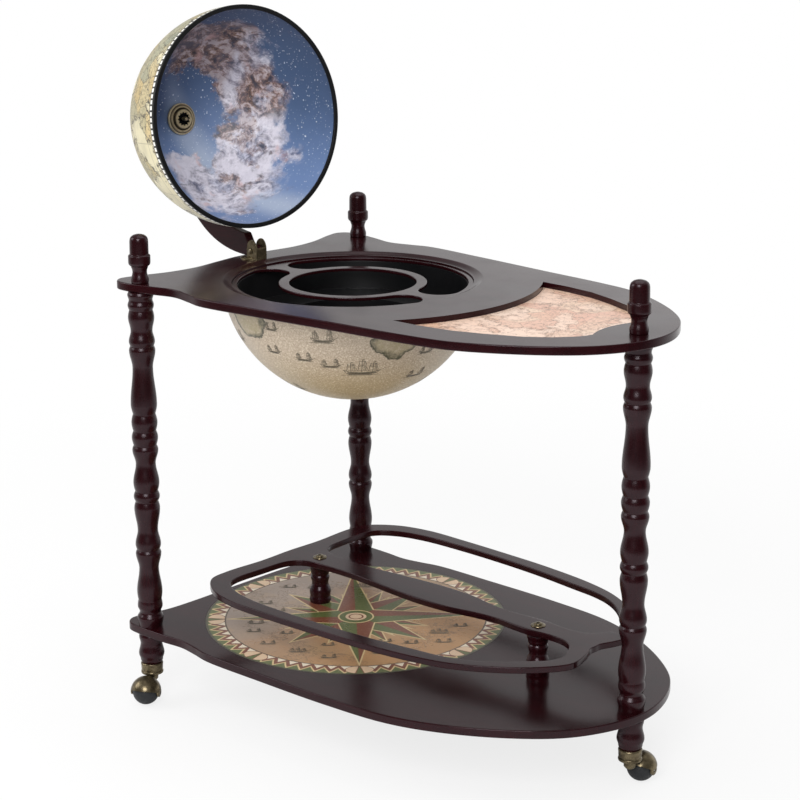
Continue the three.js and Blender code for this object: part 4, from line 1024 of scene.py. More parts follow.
TABLETOP_HALF = [
    (-0.043, 0), (-0.036, 0.2), (-0.027, 0.42), (-0.034, 0.62), (-0.056, 0.83), (-0.061, 0.93),
    (-0.048, 0.985), (-0.02, 1), (0.04, 0.967), (0.094, 0.93), (0.145, 0.962), (0.185, 0.992),
    (0.32, 0.963), (0.52, 0.902), (0.66, 0.862), (0.745, 0.815), (0.82, 0.71), (0.9, 0.547),
    (0.955, 0.38), (0.99, 0.18), (1, 0),
]
SHELF_HALF = [
    (-0.039, 0), (-0.039, 0.2), (-0.038, 0.42), (-0.042, 0.66), (-0.058, 0.84), (-0.058, 0.9),
    (-0.044, 0.95), (-0.01, 0.968), (0.06, 0.964), (0.11, 0.952), (0.156, 0.972), (0.2, 0.998),
    (0.34, 1), (0.52, 0.99), (0.66, 0.95), (0.76, 0.85), (0.865, 0.67), (0.942, 0.465), (0.985, 0.23),
    (1, 0),
]
PANEL_SIDE = [
    (0.152, 0.649), (0.327, 0.62), (0.484, 0.558), (0.647, 0.475), (0.758, 0.38), (0.826, 0.285),
    (0.851, 0.235),
]
RAIL_OUTER = [
    (0, 0), (0.003, 0.283), (-0.003, 0.613), (0.007, 0.778), (0.071, 0.93), (0.164, 1), (0.29, 1.004),
    (0.44, 0.99), (0.58, 0.967), (0.736, 0.906), (0.834, 0.82), (0.937, 0.64), (0.998, 0.47),
    (1.024, 0.34), (1.025, 0.274), (1.014, 0.15), (1.0, 0.05), (1, 0),
]
RAIL_WINDOW = [
    (0.983, 0.264), (0.975, 0.377), (0.939, 0.49), (0.888, 0.632), (0.836, 0.726), (0.781, 0.778),
    (0.702, 0.811), (0.58, 0.858), (0.44, 0.887), (0.305, 0.896), (0.186, 0.882), (0.11, 0.83),
    (0.064, 0.745), (0.051, 0.66), (0.051, 0.42),
]
RAIL_BAR = [
    (0.059, 0.21), (0.088, 0.127), (0.153, 0.1), (0.237, 0.094), (0.322, 0.113), (0.407, 0.137),
    (0.49, 0.15), (0.576, 0.137), (0.644, 0.1), (0.712, 0.08), (0.771, 0.094), (0.819, 0.1),
    (0.864, 0.083), (0.907, 0.085), (0.936, 0.113), (0.958, 0.165), (0.971, 0.235),
]

# Turnings from the foot up: a share of the height, a share of the radius and the form
POST = [
    (0.0, 0.9, "peak"), (0.026, 1, "peak"), (0.0435, 0.81, "neck"), (0.061, 0.953, "peak"),
    (0.08, 0.886, "cut"), (0.106, 0.964, "peak"), (0.177, 0.746, "neck"), (0.222, 0.969, "peak"),
    (0.2335, 0.86, "cut"), (0.2495, 0.964, "peak"), (0.293, 0.767, "neck"), (0.358, 0.974, "peak"),
    (0.38, 0.855, "cut"), (0.3945, 0.984, "peak"), (0.4105, 0.86, "cut"), (0.4365, 0.979, "peak"),
    (0.493, 0.751, "neck"), (0.534, 0.974, "peak"), (0.548, 0.86, "cut"), (0.5715, 0.984, "peak"),
    (0.5905, 0.855, "cut"), (0.615, 0.974, "peak"), (0.641, 0.839, "cut"), (0.67, 0.984, "peak"),
    (0.7775, 0.762, "neck"), (0.828, 0.979, "peak"), (0.841, 0.876, "cut"), (0.8545, 0.969, "peak"),
    (0.885, 0.813, "neck"), (0.924, 0.974, "peak"), (0.946, 0.87, "cut"), (0.96, 0.974, "peak"),
    (0.975, 0.881, "neck"), (0.99, 0.974, "peak"), (1.0, 0.9, "peak"),
]
FINIAL = [
    (0.0, 0.775), (0.05, 0.80), (0.10, 0.79), (0.16, 0.70), (0.22, 0.65), (0.27, 0.67), (0.30, 0.72),
    (0.352, 0.80), (0.37, 0.93), (0.40, 0.985), (0.43, 1.0), (0.55, 1.0), (0.572, 0.97), (0.585, 0.84),
    (0.6, 0.855), (0.7, 0.85), (0.85, 0.84), (0.90, 0.81), (0.94, 0.73), (0.975, 0.52), (0.993, 0.27),
    (1.0, 0.0),
]
FOOT = [
    (0, 0.76, "peak"), (0.1, 0.87, "peak"), (0.32, 1, "peak"), (0.66, 0.85, "neck"),
    (0.9, 0.95, "peak"), (1.0, 0.88, "peak"),
]
STANDOFF = [
    (0.0, 0.94, "peak"), (0.08, 1, "peak"), (0.16, 0.93, "cut"), (0.3, 0.98, "peak"), (0.5, 0.76, "neck"),
    (0.66, 0.87, "peak"), (0.72, 0.78, "cut"), (0.8, 0.87, "peak"), (0.93, 0.98, "peak"), (1.0, 0.94, "peak"),
]

# Turned metal: radius and height in millimetres. The cup's and the hinge base's radii count from their
# own outer radius, and the axle's are shares of its radius
FERRULE_CUP = [
    (-1.4, 0.0), (-0.4, 0.4), (0.0, 1.6), (0.0, 3.0), (-0.4, 4.2), (-1.3, 4.8), (-1.3, 5.6),
    (-0.7, 6.2), (-0.5, 8.0), (-0.4, 13.0), (-0.1, 14.2), (0.0, 15.2), (-0.2, 16.2), (-1.0, 17.0),
    (-3.2, 17.0), (-3.2, 8.0),
]
AXLE_END = [(1, -0.5), (0.7, 0.2), (0, 0.4)]
SWIVEL_BOSS = [(0, -4), (6, -3), (8.5, 0)]
RAIL_SCREW = [
    (0, -20), (3, -20), (3, 0), (10.2, 0), (10.5, 0.4), (10.2, 1.0), (9.0, 1.4), (6.9, 1.45),
    (6.4, 1.1), (6.0, 1.5), (5.9, 2.8), (5.2, 3.7), (4.2, 4.0), (0, 4.0),
]
WOOD_SCREW_HEAD = [(0, 1.2), (1.6, 1.2), (1.8, 0.1), (4.3, 0), (2.2, 2.2)]
WOOD_SCREW_TIP = [(2.2, 20), (0, 21)]
HINGE_BASE_EDGE = [(0, 0), (0, 1.2), (-0.8, 2.1), (-2, 2.5)]
HINGE_PIN_HEAD = [(4.2, -0.6), (4.2, 0), (2.4, 0.9), (0, 1.2)]
HINGE_SCREW_HEAD = [(1.8, 0), (2.8, 0), (2.7, 0.5), (1.9, 1.2), (0, 1.4)]

# Pole fittings: a share of the radius and a share of the height
POLE_FLANGE = [
    (0.56, 0.0), (0.60, 0.06), (0.63, 0.30), (0.66, 0.52), (0.70, 0.52), (0.74, 0.38), (0.80, 0.40),
    (0.86, 0.50), (0.90, 0.64), (0.93, 0.62), (0.97, 0.68), (1.0, 0.9), (1.0, 1.0),
]
KNOB = [
    (1, 0.0), (1, 0.12), (0.94, 0.17), (0.72, 0.24), (0.68, 0.32), (0.78, 0.40), (0.9, 0.50),
    (0.92, 0.60), (0.86, 0.74), (0.7, 0.87), (0.42, 0.96), (0, 1.0),
]

# Prints. A coast has its azimuth, height and reach; a ship of the bowl its azimuth, height, length and
# masts; a ship of the medallion its azimuth, distance from the middle and length
BOWL_COASTS = ((-101, -15, 0.20), (-27, -19, 0.20), (75, -14, 0.30), (150, -16, 0.32), (-150, -12, 0.2))
BOWL_SHIPS = (
    (-85, -17, 0.022, 2), (-60, -20, 0.034, 2), (-88, -29, 0.024, 2), (-71, -31, 0.026, 2),
    (-58, -34, 0.028, 2), (-42, -38, 0.050, 3), (-8, -44, 0.030, 2), (-9, -29, 0.024, 2),
    (14, -30, 0.026, 2), (-118, -28, 0.030, 2), (42, -24, 0.040, 3), (70, -34, 0.048, 3),
    (102, -22, 0.036, 2), (140, -32, 0.050, 3), (172, -24, 0.038, 2), (-150, -30, 0.044, 3),
    (20, -56, 0.036, 2), (-100, -58, 0.040, 2),
)
MEDALLION_SHIPS = (
    (-128, 0.150, 0.026), (-116, 0.160, 0.022), (-104, 0.120, 0.020), (-97, 0.165, 0.024),
    (-78, 0.160, 0.028), (-66, 0.120, 0.020), (-60, 0.165, 0.024), (-33, 0.150, 0.026),
    (-24, 0.110, 0.022), (-10, 0.135, 0.022), (4, 0.165, 0.026), (14, 0.140, 0.030),
    (28, 0.160, 0.022), (62, 0.150, 0.028), (76, 0.120, 0.022), (100, 0.140, 0.024),
    (118, 0.165, 0.022), (128, 0.130, 0.028), (160, 0.140, 0.026), (172, 0.165, 0.022),
    (-160, 0.150, 0.024), (-150, 0.120, 0.022),
)
MEDALLION_THREE_MASTS = 0.027

# A leg's place along and across the table, and the heading of its caster in degrees
LEGS = {"left": (0, -1, -63), "rear": (0, 1, 62), "narrow": (1, 0, 93)}

SEAT_GAP = 0.0003
OVERRUN = 0.002
EDGE_ROUND = {
    "finial": 0.0012, "hood": 0.0005, "bowl_ring": 0.0008,
    "tray": 0.0005, "bracket": 0.0006, "lid_ring": 0.0012,
}

# Tabletop, panel and medallion
COVE_STEPS, COVE_CURVE = 14, 1.5
PANEL_ARC_RADIUS = 0.274
PANEL_ARC_SHARE = 0.654
PANEL_BAY_X = 0.664
PANEL_BAY_RADIUS = 0.108
PANEL_BAY_HALF = 25.0
PANEL_DEPTH = 0.008
PANEL_THICKNESS = 0.0012
MEDALLION_THICKNESS = 0.001
PAPER_EDGE = 0.0002
PRINT_LIFT = 0.00012
SHIP_HEADING = 42.5

# Casters
FERRULE_FLOOR = 0.008
HOOD_EAR_WALLS = 3.4
HOOD_RIM_FRONT, HOOD_RIM_BACK = 19, 26
BOSS_RADIUS = 0.009
BOSS_HEIGHT = 0.0087
SWIVEL_PIN_SINK = 0.002
SWIVEL_PIN_TOP = 0.052
BALL_BORE = 0.0023

# Rail and rack
RAIL_EDGE = 0.0013
HEX_SOCKET, HEX_SOCKET_FLOOR, HEX_SOCKET_TOP = 0.0026, 0.002, 0.006
WELL_LIP = 0.004
PLATE_EDGE = 0.0011
SLOT_START, SLOT_STOP = 17.0, 163.0

# Hinge
HINGE_BASE_HEIGHT = 0.0025
HINGE_BASE_BEHIND = 0.007
FORK_CHEEK = 0.002
FORK_FRONT = 0.003
FORK_FRONT_WALL = 0.002
FORK_FRONT_TOP = 0.005
FORK_CROWN_FOOT, FORK_CROWN_RISE = 0.002, 0.015
FORK_PAST = 0.03
HINGE_SCREW_OUT = 0.0028
HINGE_SCREW_BORE = 0.0021
HINGE_SCREW_REACH = 0.008
CROSS_SLOT_REACH, CROSS_SLOT_HALF = 0.004, 0.00035
CROSS_SLOT_FLOOR, CROSS_SLOT_TOP = 0.0007, 0.003
HINGE_PIN_OUT = 0.001
HINGE_PIN_NECK = 0.0008

# Lid, pole and arm; the arm's places along its curve are degrees from the rim
LID_SEAT_GAP = 0.0005
SOCKET_POINTS = 12
SOCKET_IN, SOCKET_OUT, SOCKET_DEPTH = 0.36, 0.47, 0.6
POLE_PIN_OUT = 0.009
NUT_WIDE, WASHER_WIDE = 1.7, 2.7
NUT_CHAMFER_IN, NUT_CHAMFER = 0.94, 0.0004
ARM_EDGE = 0.0022
ARM_POLE_PAST = 2.4
ARM_BULGE = 0.010
ARM_DOME_GAP, ARM_DOME_GAP_GROWTH = 0.002, 0.010
ARM_NECK_START, ARM_NECK_SPAN = 6.0, 4.5

# Stage: lamps have a name, a place, a size and a power
LAMPS = (
    ("key", (1.7, -2.7, 2.3), 1.6, 80.0),
    ("fill", (-2.2, -1.8, 1.9), 1.5, 28.0),
    ("top", (-0.2, 0.5, 3.0), 2.0, 16.0),
)
FLOOR_RADIUS, FLOOR_THICKNESS, FLOOR_DROP = 2.2, 0.01, 0.001
LAMP_TARGET = (0.0, 0.0, 0.5)
STUDIO_RIGHT = (0.737, 0.676)
CAMERA_PLACE = (2.12528, -2.27834, 1.31862)
CAMERA_FORWARD = (-0.657563, 0.716999, -0.231351)
CAMERA_ROLL = -0.25
CAMERA_LENS = 100.865
CAMERA_SHIFT = -0.1


def table_sizes():
    return bpy.context.scene.globe_bar_table


def globe_sizes():
    return bpy.context.scene.globe_bar_globe


def caster_sizes():
    return bpy.context.scene.globe_bar_casters


def leg_place(leg):
    table = table_sizes()
    along, side, _ = LEGS[leg]
    return Vector((along * table.reach - table.ahead, side * table.spread / 2, 0.0))


def globe_place():
    """Where the globe's axis meets the floor"""
    return Vector((globe_sizes().centre_x - table_sizes().ahead, 0.0, 0.0))


def board_outline(half, tip, half_width):
    table = table_sizes()
    return smooth_loop([(x * tip - table.ahead, y * half_width) for x, y in mirrored(half)])


def panel_outline(inset):
    table, globe = table_sizes(), globe_sizes()
    half = math.degrees(math.asin(PANEL_ARC_SHARE * table.top_half / PANEL_ARC_RADIUS))
    curve = arc(globe.centre_x, 0.0, PANEL_ARC_RADIUS, half, -half, 48)
    start = curve[0][0]
    side = [(start + x * (table.reach - start), y * table.top_half) for x, y in PANEL_SIDE]
    bay_centre = PANEL_BAY_X + PANEL_BAY_RADIUS
    bay = arc(bay_centre, 0.0, PANEL_BAY_RADIUS, 180 + PANEL_BAY_HALF, 180 - PANEL_BAY_HALF, 20)
    loop = [*curve, *((x, -y) for x, y in side), *bay, *reversed(side)]
    return moved_in([(x - table.ahead, y) for x, y in loop], inset)


class GLOBE_BAR_OT_boards(bpy.types.Operator):
    """Makes the tabletop, with its coved opening and the bed of the map panel, and the lower shelf"""

    bl_idname = "globe_bar.boards"
    bl_label = "Boards"
    bl_options = {"REGISTER", "UNDO"}

    def execute(self, context):
        table, globe = table_sizes(), globe_sizes()
        middle = Matrix.Translation(globe_place())
        under = table.top - table.board
        outline = board_outline(TABLETOP_HALF, table.top_tip, table.top_half)
        top = slab("tabletop", [outline], under, table.board, table.edge)
        dish = []
        for step in range(COVE_STEPS + 1):
            share = step / COVE_STEPS
            radius = globe.cove + (globe.opening - globe.cove) * share
            dish.append((radius, table.top - globe.cove_depth * math.sin(share * math.pi / 2) ** COVE_CURVE))
        above = table.top + OVERRUN
        below = under - OVERRUN
        hole = [(0, below), (globe.opening, below), *reversed(dish), (globe.cove, above), (0, above)]
        opening = spin("opening", hole, 128, middle)
        bed_bottom = table.top - PANEL_DEPTH - PANEL_THICKNESS
        bed = slab("bed", [panel_outline(0.0)], bed_bottom, above - bed_bottom)
        top = joined(top, [opening, bed], "DIFFERENCE")
        dress(top, lacquer("X"), "tabletop", angle=30)

        outline = board_outline(SHELF_HALF, table.shelf_tip, table.shelf_half)
        shelf = slab("shelf", [outline], table.shelf - table.board, table.board, table.edge)
        bed_profile = rod_profile(table.medallion + SEAT_GAP, table.shelf - MEDALLION_THICKNESS, above)
        bed = spin("bed", bed_profile, 160, middle)
        dress(joined(shelf, [bed], "DIFFERENCE"), lacquer("X"), "lower_shelf", angle=30)
        return {"FINISHED"}


class GLOBE_BAR_OT_map_panel(bpy.types.Operator):
    """Makes the printed panel that lies in the tabletop's sunk bed"""

    bl_idname = "globe_bar.map_panel"
    bl_label = "Map panel"
    bl_options = {"REGISTER", "UNDO"}

    def execute(self, context):
        table = table_sizes()
        bottom = table.top - PANEL_DEPTH - PANEL_THICKNESS
        panel = slab("panel", [panel_outline(SEAT_GAP)], bottom, PANEL_THICKNESS, PAPER_EDGE)
        dress(panel, panel_print(), "map_panel")
        return {"FINISHED"}


class GLOBE_BAR_OT_medallion(bpy.types.Operator):
    """Makes the printed disc of the shelf and the small ships on it"""

    bl_idname = "globe_bar.medallion"
    bl_label = "Shelf medallion"
    bl_options = {"REGISTER", "UNDO"}

    def execute(self, context):
        table = table_sizes()
        middle = Matrix.Translation(globe_place())
        disc = rod_profile(table.medallion, table.shelf - MEDALLION_THICKNESS, table.shelf)
        disc = spin("disc", disc, 160)
        dress(disc, medallion_print(table.medallion), "shelf_medallion", middle)
        facing = math.radians(SHIP_HEADING)
        across = Vector((math.cos(facing), math.sin(facing)))
        up = Vector((-across.y, across.x))
        strokes = []
        for turn, distance, size in MEDALLION_SHIPS:
            at = Vector((math.cos(math.radians(turn)), math.sin(math.radians(turn)))) * distance
            for width, points in ship_strokes(size, 2 if size < MEDALLION_THREE_MASTS else 3):
                strokes.append((width, [tuple(at + across * x + up * y) for x, y in points]))
        lift = table.shelf + PRINT_LIFT
        ships = inked("medallion_ships", strokes, lambda point: (point.x, point.y, lift))
        print_on(ships, ink(0.8), "shelf_medallion", middle)
        return {"FINISHED"}


class GLOBE_BAR_OT_legs(bpy.types.Operator):
    """Turns the posts, finials and feet of the three legs"""

    bl_idname = "globe_bar.legs"
    bl_label = "Legs"
    bl_options = {"REGISTER", "UNDO"}

    def execute(self, context):
        table = table_sizes()
        wood = lacquer("Z", 0.24, 0.3)
        shelf_under = table.shelf - table.board
        for leg in LEGS:
            place = Matrix.Translation(leg_place(leg))
            post = turning("post", POST, table.shelf, table.top - table.board - table.shelf, table.post)
            dress(post, wood, f"post_{leg}", place, 50)
            outline = [(r * table.finial, table.top + z * table.finial_height) for z, r in FINIAL]
            finial = spin("finial", [(0, table.top), *outline], 72)
            dress(softened(finial, EDGE_ROUND["finial"], 3, 28), wood, f"finial_{leg}", place, 50)
            foot = turning("foot", FOOT, table.foot_end, shelf_under - table.foot_end, table.foot)
            dress(foot, wood, f"foot_{leg}", place, 50)
        return {"FINISHED"}


class GLOBE_BAR_OT_casters(bpy.types.Operator):
    """Makes the ball casters: cup, hood, axle and ball"""

    bl_idname = "globe_bar.casters"
    bl_label = "Ball casters"
    bl_options = {"REGISTER", "UNDO"}

    def hood(self, sizes):
        """The hood: a shell over the ball with an arched rim, ears for the axle, a boss and the swivel pin"""
        inner = sizes.ball + sizes.gap
        outer = inner + sizes.wall
        span = outer * 2
        front, back = (math.tan(math.radians(angle)) for angle in (HOOD_RIM_FRONT, HOOD_RIM_BACK))

        def dome(name, radius):
            steps = 40
            turns = [math.pi * step / steps for step in range(1, steps)]
            side = [(radius * math.sin(turn), -radius * math.cos(turn)) for turn in turns]
            return spin(name, [(0, -radius), *side, (0, radius)], 80)

        across = Matrix.Rotation(math.pi / 2, 4, "X")
        hood = dome("hood", outer)
        arch = [(0.0, 0.0), (span, span * front), (span, span * 2), (-span, span * 2), (-span, span * back)]
        keep = slab("keep", [arch], -span, 2 * span)
        keep.data.transform(across)
        ears = spin("ears", rod_profile(sizes.wall * HOOD_EAR_WALLS, -span, span), 48, across)
        keep = joined(keep, [ears], "UNION")
        hood = joined(hood, [keep], "INTERSECT")
        trail = Matrix.Translation((-sizes.trail, 0.0, 0.0))
        boss_top = sizes.ferrule_bottom - SEAT_GAP - sizes.ball
        boss = [*turned_metal(SWIVEL_BOSS, boss_top - BOSS_HEIGHT), (BOSS_RADIUS, boss_top), (0, boss_top)]
        hood = joined(hood, [spin("boss", boss, 48, trail)], "UNION")
        room = spin("room", rod_profile(sizes.ferrule + SEAT_GAP, boss_top, span), 64, trail)
        cavity = dome("cavity", inner)
        bore = spin("bore", rod_profile(sizes.axle + SEAT_GAP, -span, span), 32, across)
        hood = joined(hood, [room, cavity, bore], "DIFFERENCE")
        pin = rod_profile(sizes.pin, boss_top - SWIVEL_PIN_SINK, SWIVEL_PIN_TOP - sizes.ball)
        hood = cleaned(joined(hood, [spin("pin", pin, 32, trail)], "UNION"), 2e-5)
        hood.data.transform(Matrix.Translation((sizes.trail, 0.0, sizes.ball)))
        return softened(hood, EDGE_ROUND["hood"], 2, 40)

    def execute(self, context):
        sizes = caster_sizes()
        bore = sizes.pin + SEAT_GAP
        bottom = sizes.ferrule_bottom
        cup = turned_metal(FERRULE_CUP, bottom, sizes.ferrule)
        cup = [(bore, bottom), *cup, (bore, bottom + FERRULE_FLOOR), (bore, bottom)]
        hood = self.hood(sizes)
        across = Matrix.Translation((sizes.trail, 0.0, sizes.ball)) @ Matrix.Rotation(math.pi / 2, 4, "X")
        half = sizes.ball + sizes.gap + sizes.wall / 2
        steps = 48
        start = math.asin(BALL_BORE / sizes.ball)
        arcs = [start + (math.pi - 2 * start) * step / steps for step in range(steps + 1)]
        round_ball = [(sizes.ball * math.sin(a), -sizes.ball * math.cos(a)) for a in arcs]
        axle_end = [(sizes.axle * share, half + up * MM) for share, up in AXLE_END]
        for leg, (_, _, heading) in LEGS.items():
            place = Matrix.Translation(leg_place(leg)) @ Matrix.Rotation(math.radians(heading), 4, "Z")
            dress(spin("cup", cup, 80), aged_brass(), f"caster_ferrule_{leg}", place)
            dress(new_piece("hood", hood.data.copy()), aged_brass(), f"caster_hood_{leg}", place, 45)
            dress(spin("axle", both_ends(axle_end), 32, across), steel(), f"caster_axle_{leg}", place)
            ball = spin("ball", [*round_ball, round_ball[0]], 96, across)
            dress(ball, rubber(), f"caster_ball_{leg}", place)
        bpy.data.objects.remove(hood)
        return {"FINISHED"}


class GLOBE_BAR_OT_rail(bpy.types.Operator):
    """Makes the bottle rail, its two pillars and their brass screws"""

    bl_idname = "globe_bar.rail"
    bl_label = "Bottle rail"
    bl_options = {"REGISTER", "UNDO"}

    def execute(self, context):
        table = table_sizes()

        def at(share, side, centre):
            x = table.rail_end + share[0] * (table.rail_tip - table.rail_end) - table.ahead
            return (x, centre + side * share[1] * table.rail_half)

        outer = [at(share, -1, table.rail_y) for share in RAIL_OUTER]
        outer += [at(share, 1, table.rail_y) for share in reversed(RAIL_OUTER[1:-1])]
        loops = [smooth_loop(outer)]
        for side in (1, -1):
            window = [at(share, side, table.rail_y) for share in RAIL_WINDOW]
            window += [at(share, side, table.bar_y) for share in RAIL_BAR]
            loops.append(smooth_loop(window, 8))
        top = table.shelf + table.rail_rise
        bottom = top - table.rail
        dress(slab("rail", loops, bottom, table.rail, RAIL_EDGE), lacquer("X"), "bottle_rail", angle=30)
        for name, x in (("wide", table.standoff_wide), ("narrow", table.standoff_narrow)):
            place = Matrix.Translation((x - table.ahead, table.bar_y, 0.0))
            pillar = turning("pillar", STANDOFF, table.shelf, bottom - table.shelf, table.standoff)
            dress(pillar, lacquer("Z", 0.2), f"rail_standoff_{name}", place, 50)
            screw = spin("screw", turned_metal(RAIL_SCREW, top), 64)
            socket = rod_profile(HEX_SOCKET, top + HEX_SOCKET_FLOOR, top + HEX_SOCKET_TOP)
            screw = joined(screw, [spin("socket", socket, 6)], "DIFFERENCE")
            dress(screw, aged_brass(), f"rail_screw_{name}", place)
            head = turned_metal(WOOD_SCREW_HEAD, table.shelf - table.board)
            wood_screw = spin("wood_screw", [*head, *turned_metal(WOOD_SCREW_TIP, table.shelf)], 40)
            dress(wood_screw, steel(), f"standoff_screw_{name}", place)
        return {"FINISHED"}


class GLOBE_BAR_OT_bowl(bpy.types.Operator):
    """Makes the printed bowl, the ships on it and the ring that carries it"""

    bl_idname = "globe_bar.bowl"
    bl_label = "Lower bowl"
    bl_options = {"REGISTER", "UNDO"}

    def execute(self, context):
        table, globe = table_sizes(), globe_sizes()
        middle = globe_place()
        under = table.top - table.board
        centre = Matrix.Translation(middle + Vector((0.0, 0.0, table.top + globe.bowl_rise)))
        sink = table.top + globe.bowl_rise - under
        inner = globe.bowl - globe.wall
        outside = shell_points(globe.bowl, globe.bowl, sink / globe.bowl, 0.0, 56)
        inside = shell_points(inner, inner, sink / inner, 0.0, 56)
        profile = [(0 if r < 1e-6 else r, -z) for r, z in [*reversed(outside), *inside]]
        bowl = spin("bowl", profile, 144)
        dress(bowl, bowl_print(), "lower_bowl", centre)

        radius = globe.bowl + PRINT_LIFT

        def on_bowl(azimuth, height):
            """Puts flat points on the bowl round one place"""
            turn, lift = math.radians(azimuth), math.radians(height)
            level = radius * math.cos(lift)
            return lambda point: on_sphere(turn + point.x / level, lift + point.y / radius, radius)

        fleet = bmesh.new()
        for azimuth, height, size, masts in BOWL_SHIPS:
            ship = inked("ship", ship_strokes(size, masts), on_bowl(azimuth, height))
            fleet.from_mesh(ship.data)
            bpy.data.objects.remove(ship)
        mesh = bpy.data.meshes.new("bowl_ships")
        fleet.to_mesh(mesh)
        fleet.free()
        print_on(new_piece("bowl_ships", mesh), ink(), "lower_bowl", centre)

        ring = ring_profile(globe.ring_in, globe.ring_out, under - globe.ring_height, under)
        ring = softened(spin("ring", ring, 128), EDGE_ROUND["bowl_ring"])
        dress(ring, lacquer("Z", 0.3), "bowl_ring", Matrix.Translation(middle))
        return {"FINISHED"}


class GLOBE_BAR_OT_rack(bpy.types.Operator):
    """Makes the black trough and well, and the plate with the bottle hole and two kidney slots"""

    bl_idname = "globe_bar.rack"
    bl_label = "Glass and bottle rack"
    bl_options = {"REGISTER", "UNDO"}

    def execute(self, context):
        table, globe = table_sizes(), globe_sizes()
        place = Matrix.Translation(globe_place())
        under = table.top - table.board
        top = under + globe.flange
        floor = top - globe.trough
        ledge = floor + globe.tray_wall
        mouth = globe.well - globe.tray_wall
        wall = globe.ring_in - 2 * SEAT_GAP
        edge = globe.opening - 2 * SEAT_GAP
        trough = [
            (mouth, floor), (globe.trough_out, floor), (wall, under), (edge, under), (edge, top),
            (wall - globe.tray_wall, top), (globe.trough_out - globe.tray_wall, ledge), (mouth, ledge),
            (mouth, floor),
        ]
        plastic = black_plastic()
        dress(softened(spin("trough", trough, 128), EDGE_ROUND["tray"]), plastic, "inner_tray", place)
        lip = floor - globe.flange
        lip_out = globe.well + WELL_LIP
        bottom = top - globe.well_depth
        well = [
            (0, bottom), (globe.well, bottom), (globe.well, lip), (lip_out, lip), (lip_out, floor),
            (mouth, floor), (mouth, bottom + globe.tray_wall), (0, bottom + globe.tray_wall),
        ]
        dress(softened(spin("well", well, 128), EDGE_ROUND["tray"]), plastic, "well_cup", place)

        x = place.translation.x
        middle = (globe.slot_in + globe.slot_out) / 2
        end = (globe.slot_out - globe.slot_in) / 2
        start, stop = SLOT_START, SLOT_STOP
        loops = [circle(x, 0.0, globe.opening - SEAT_GAP, 160), circle(x, 0.0, globe.bottle_hole, 128)]
        for side in (1, -1):
            caps = []
            for angle, first, last in ((stop, stop, stop + 180), (start, start + 180, start + 360)):
                turn = math.radians(angle)
                cap = arc(middle * math.cos(turn), middle * math.sin(turn), end, first, last, 24)
                caps.append(cap[1:-1])
            slot = [
                *arc(0.0, 0.0, globe.slot_out, start, stop, 64), *caps[0],
                *arc(0.0, 0.0, globe.slot_in, stop, start, 48), *caps[1],
            ]
            loops.append([(px + x, py * side) for px, py in slot])
        plate = slab("plate", loops, top, globe.plate, PLATE_EDGE)
        dress(plate, lacquer("X"), "insert_plate", angle=30)
        return {"FINISHED"}


def hinge_joint():
    """The hinge pin's place, its direction and how far the lid stands open at rest"""
    joint = JOINTS["lid_hinge"]
    return Vector(joint["pos_m"]), Vector(joint["axis"]).normalized(), math.radians(-min(joint["range_deg"]))


def rim_height():
    """Height of the dome's rim when the lid is closed"""
    table, globe = table_sizes(), globe_sizes()
    return table.top - table.board + globe.flange + globe.plate + LID_SEAT_GAP + globe.lid_ring


def arm_offsets():
    """From the closed rim's centre to the hinge pin: how far back and how far up"""
    pin, _, _ = hinge_joint()
    return globe_place().x - pin.x, pin.z - rim_height()


def lid_frame():
    """From the closed lid's own frame, with its origin in the rim's centre, to the open rest pose"""
    pin, axis, opened = hinge_joint()
    turn = Matrix.Translation(pin) @ Matrix.Rotation(opened, 4, axis) @ Matrix.Translation(-pin)
    return turn @ Matrix.Translation(globe_place() + Vector((0.0, 0.0, rim_height())))


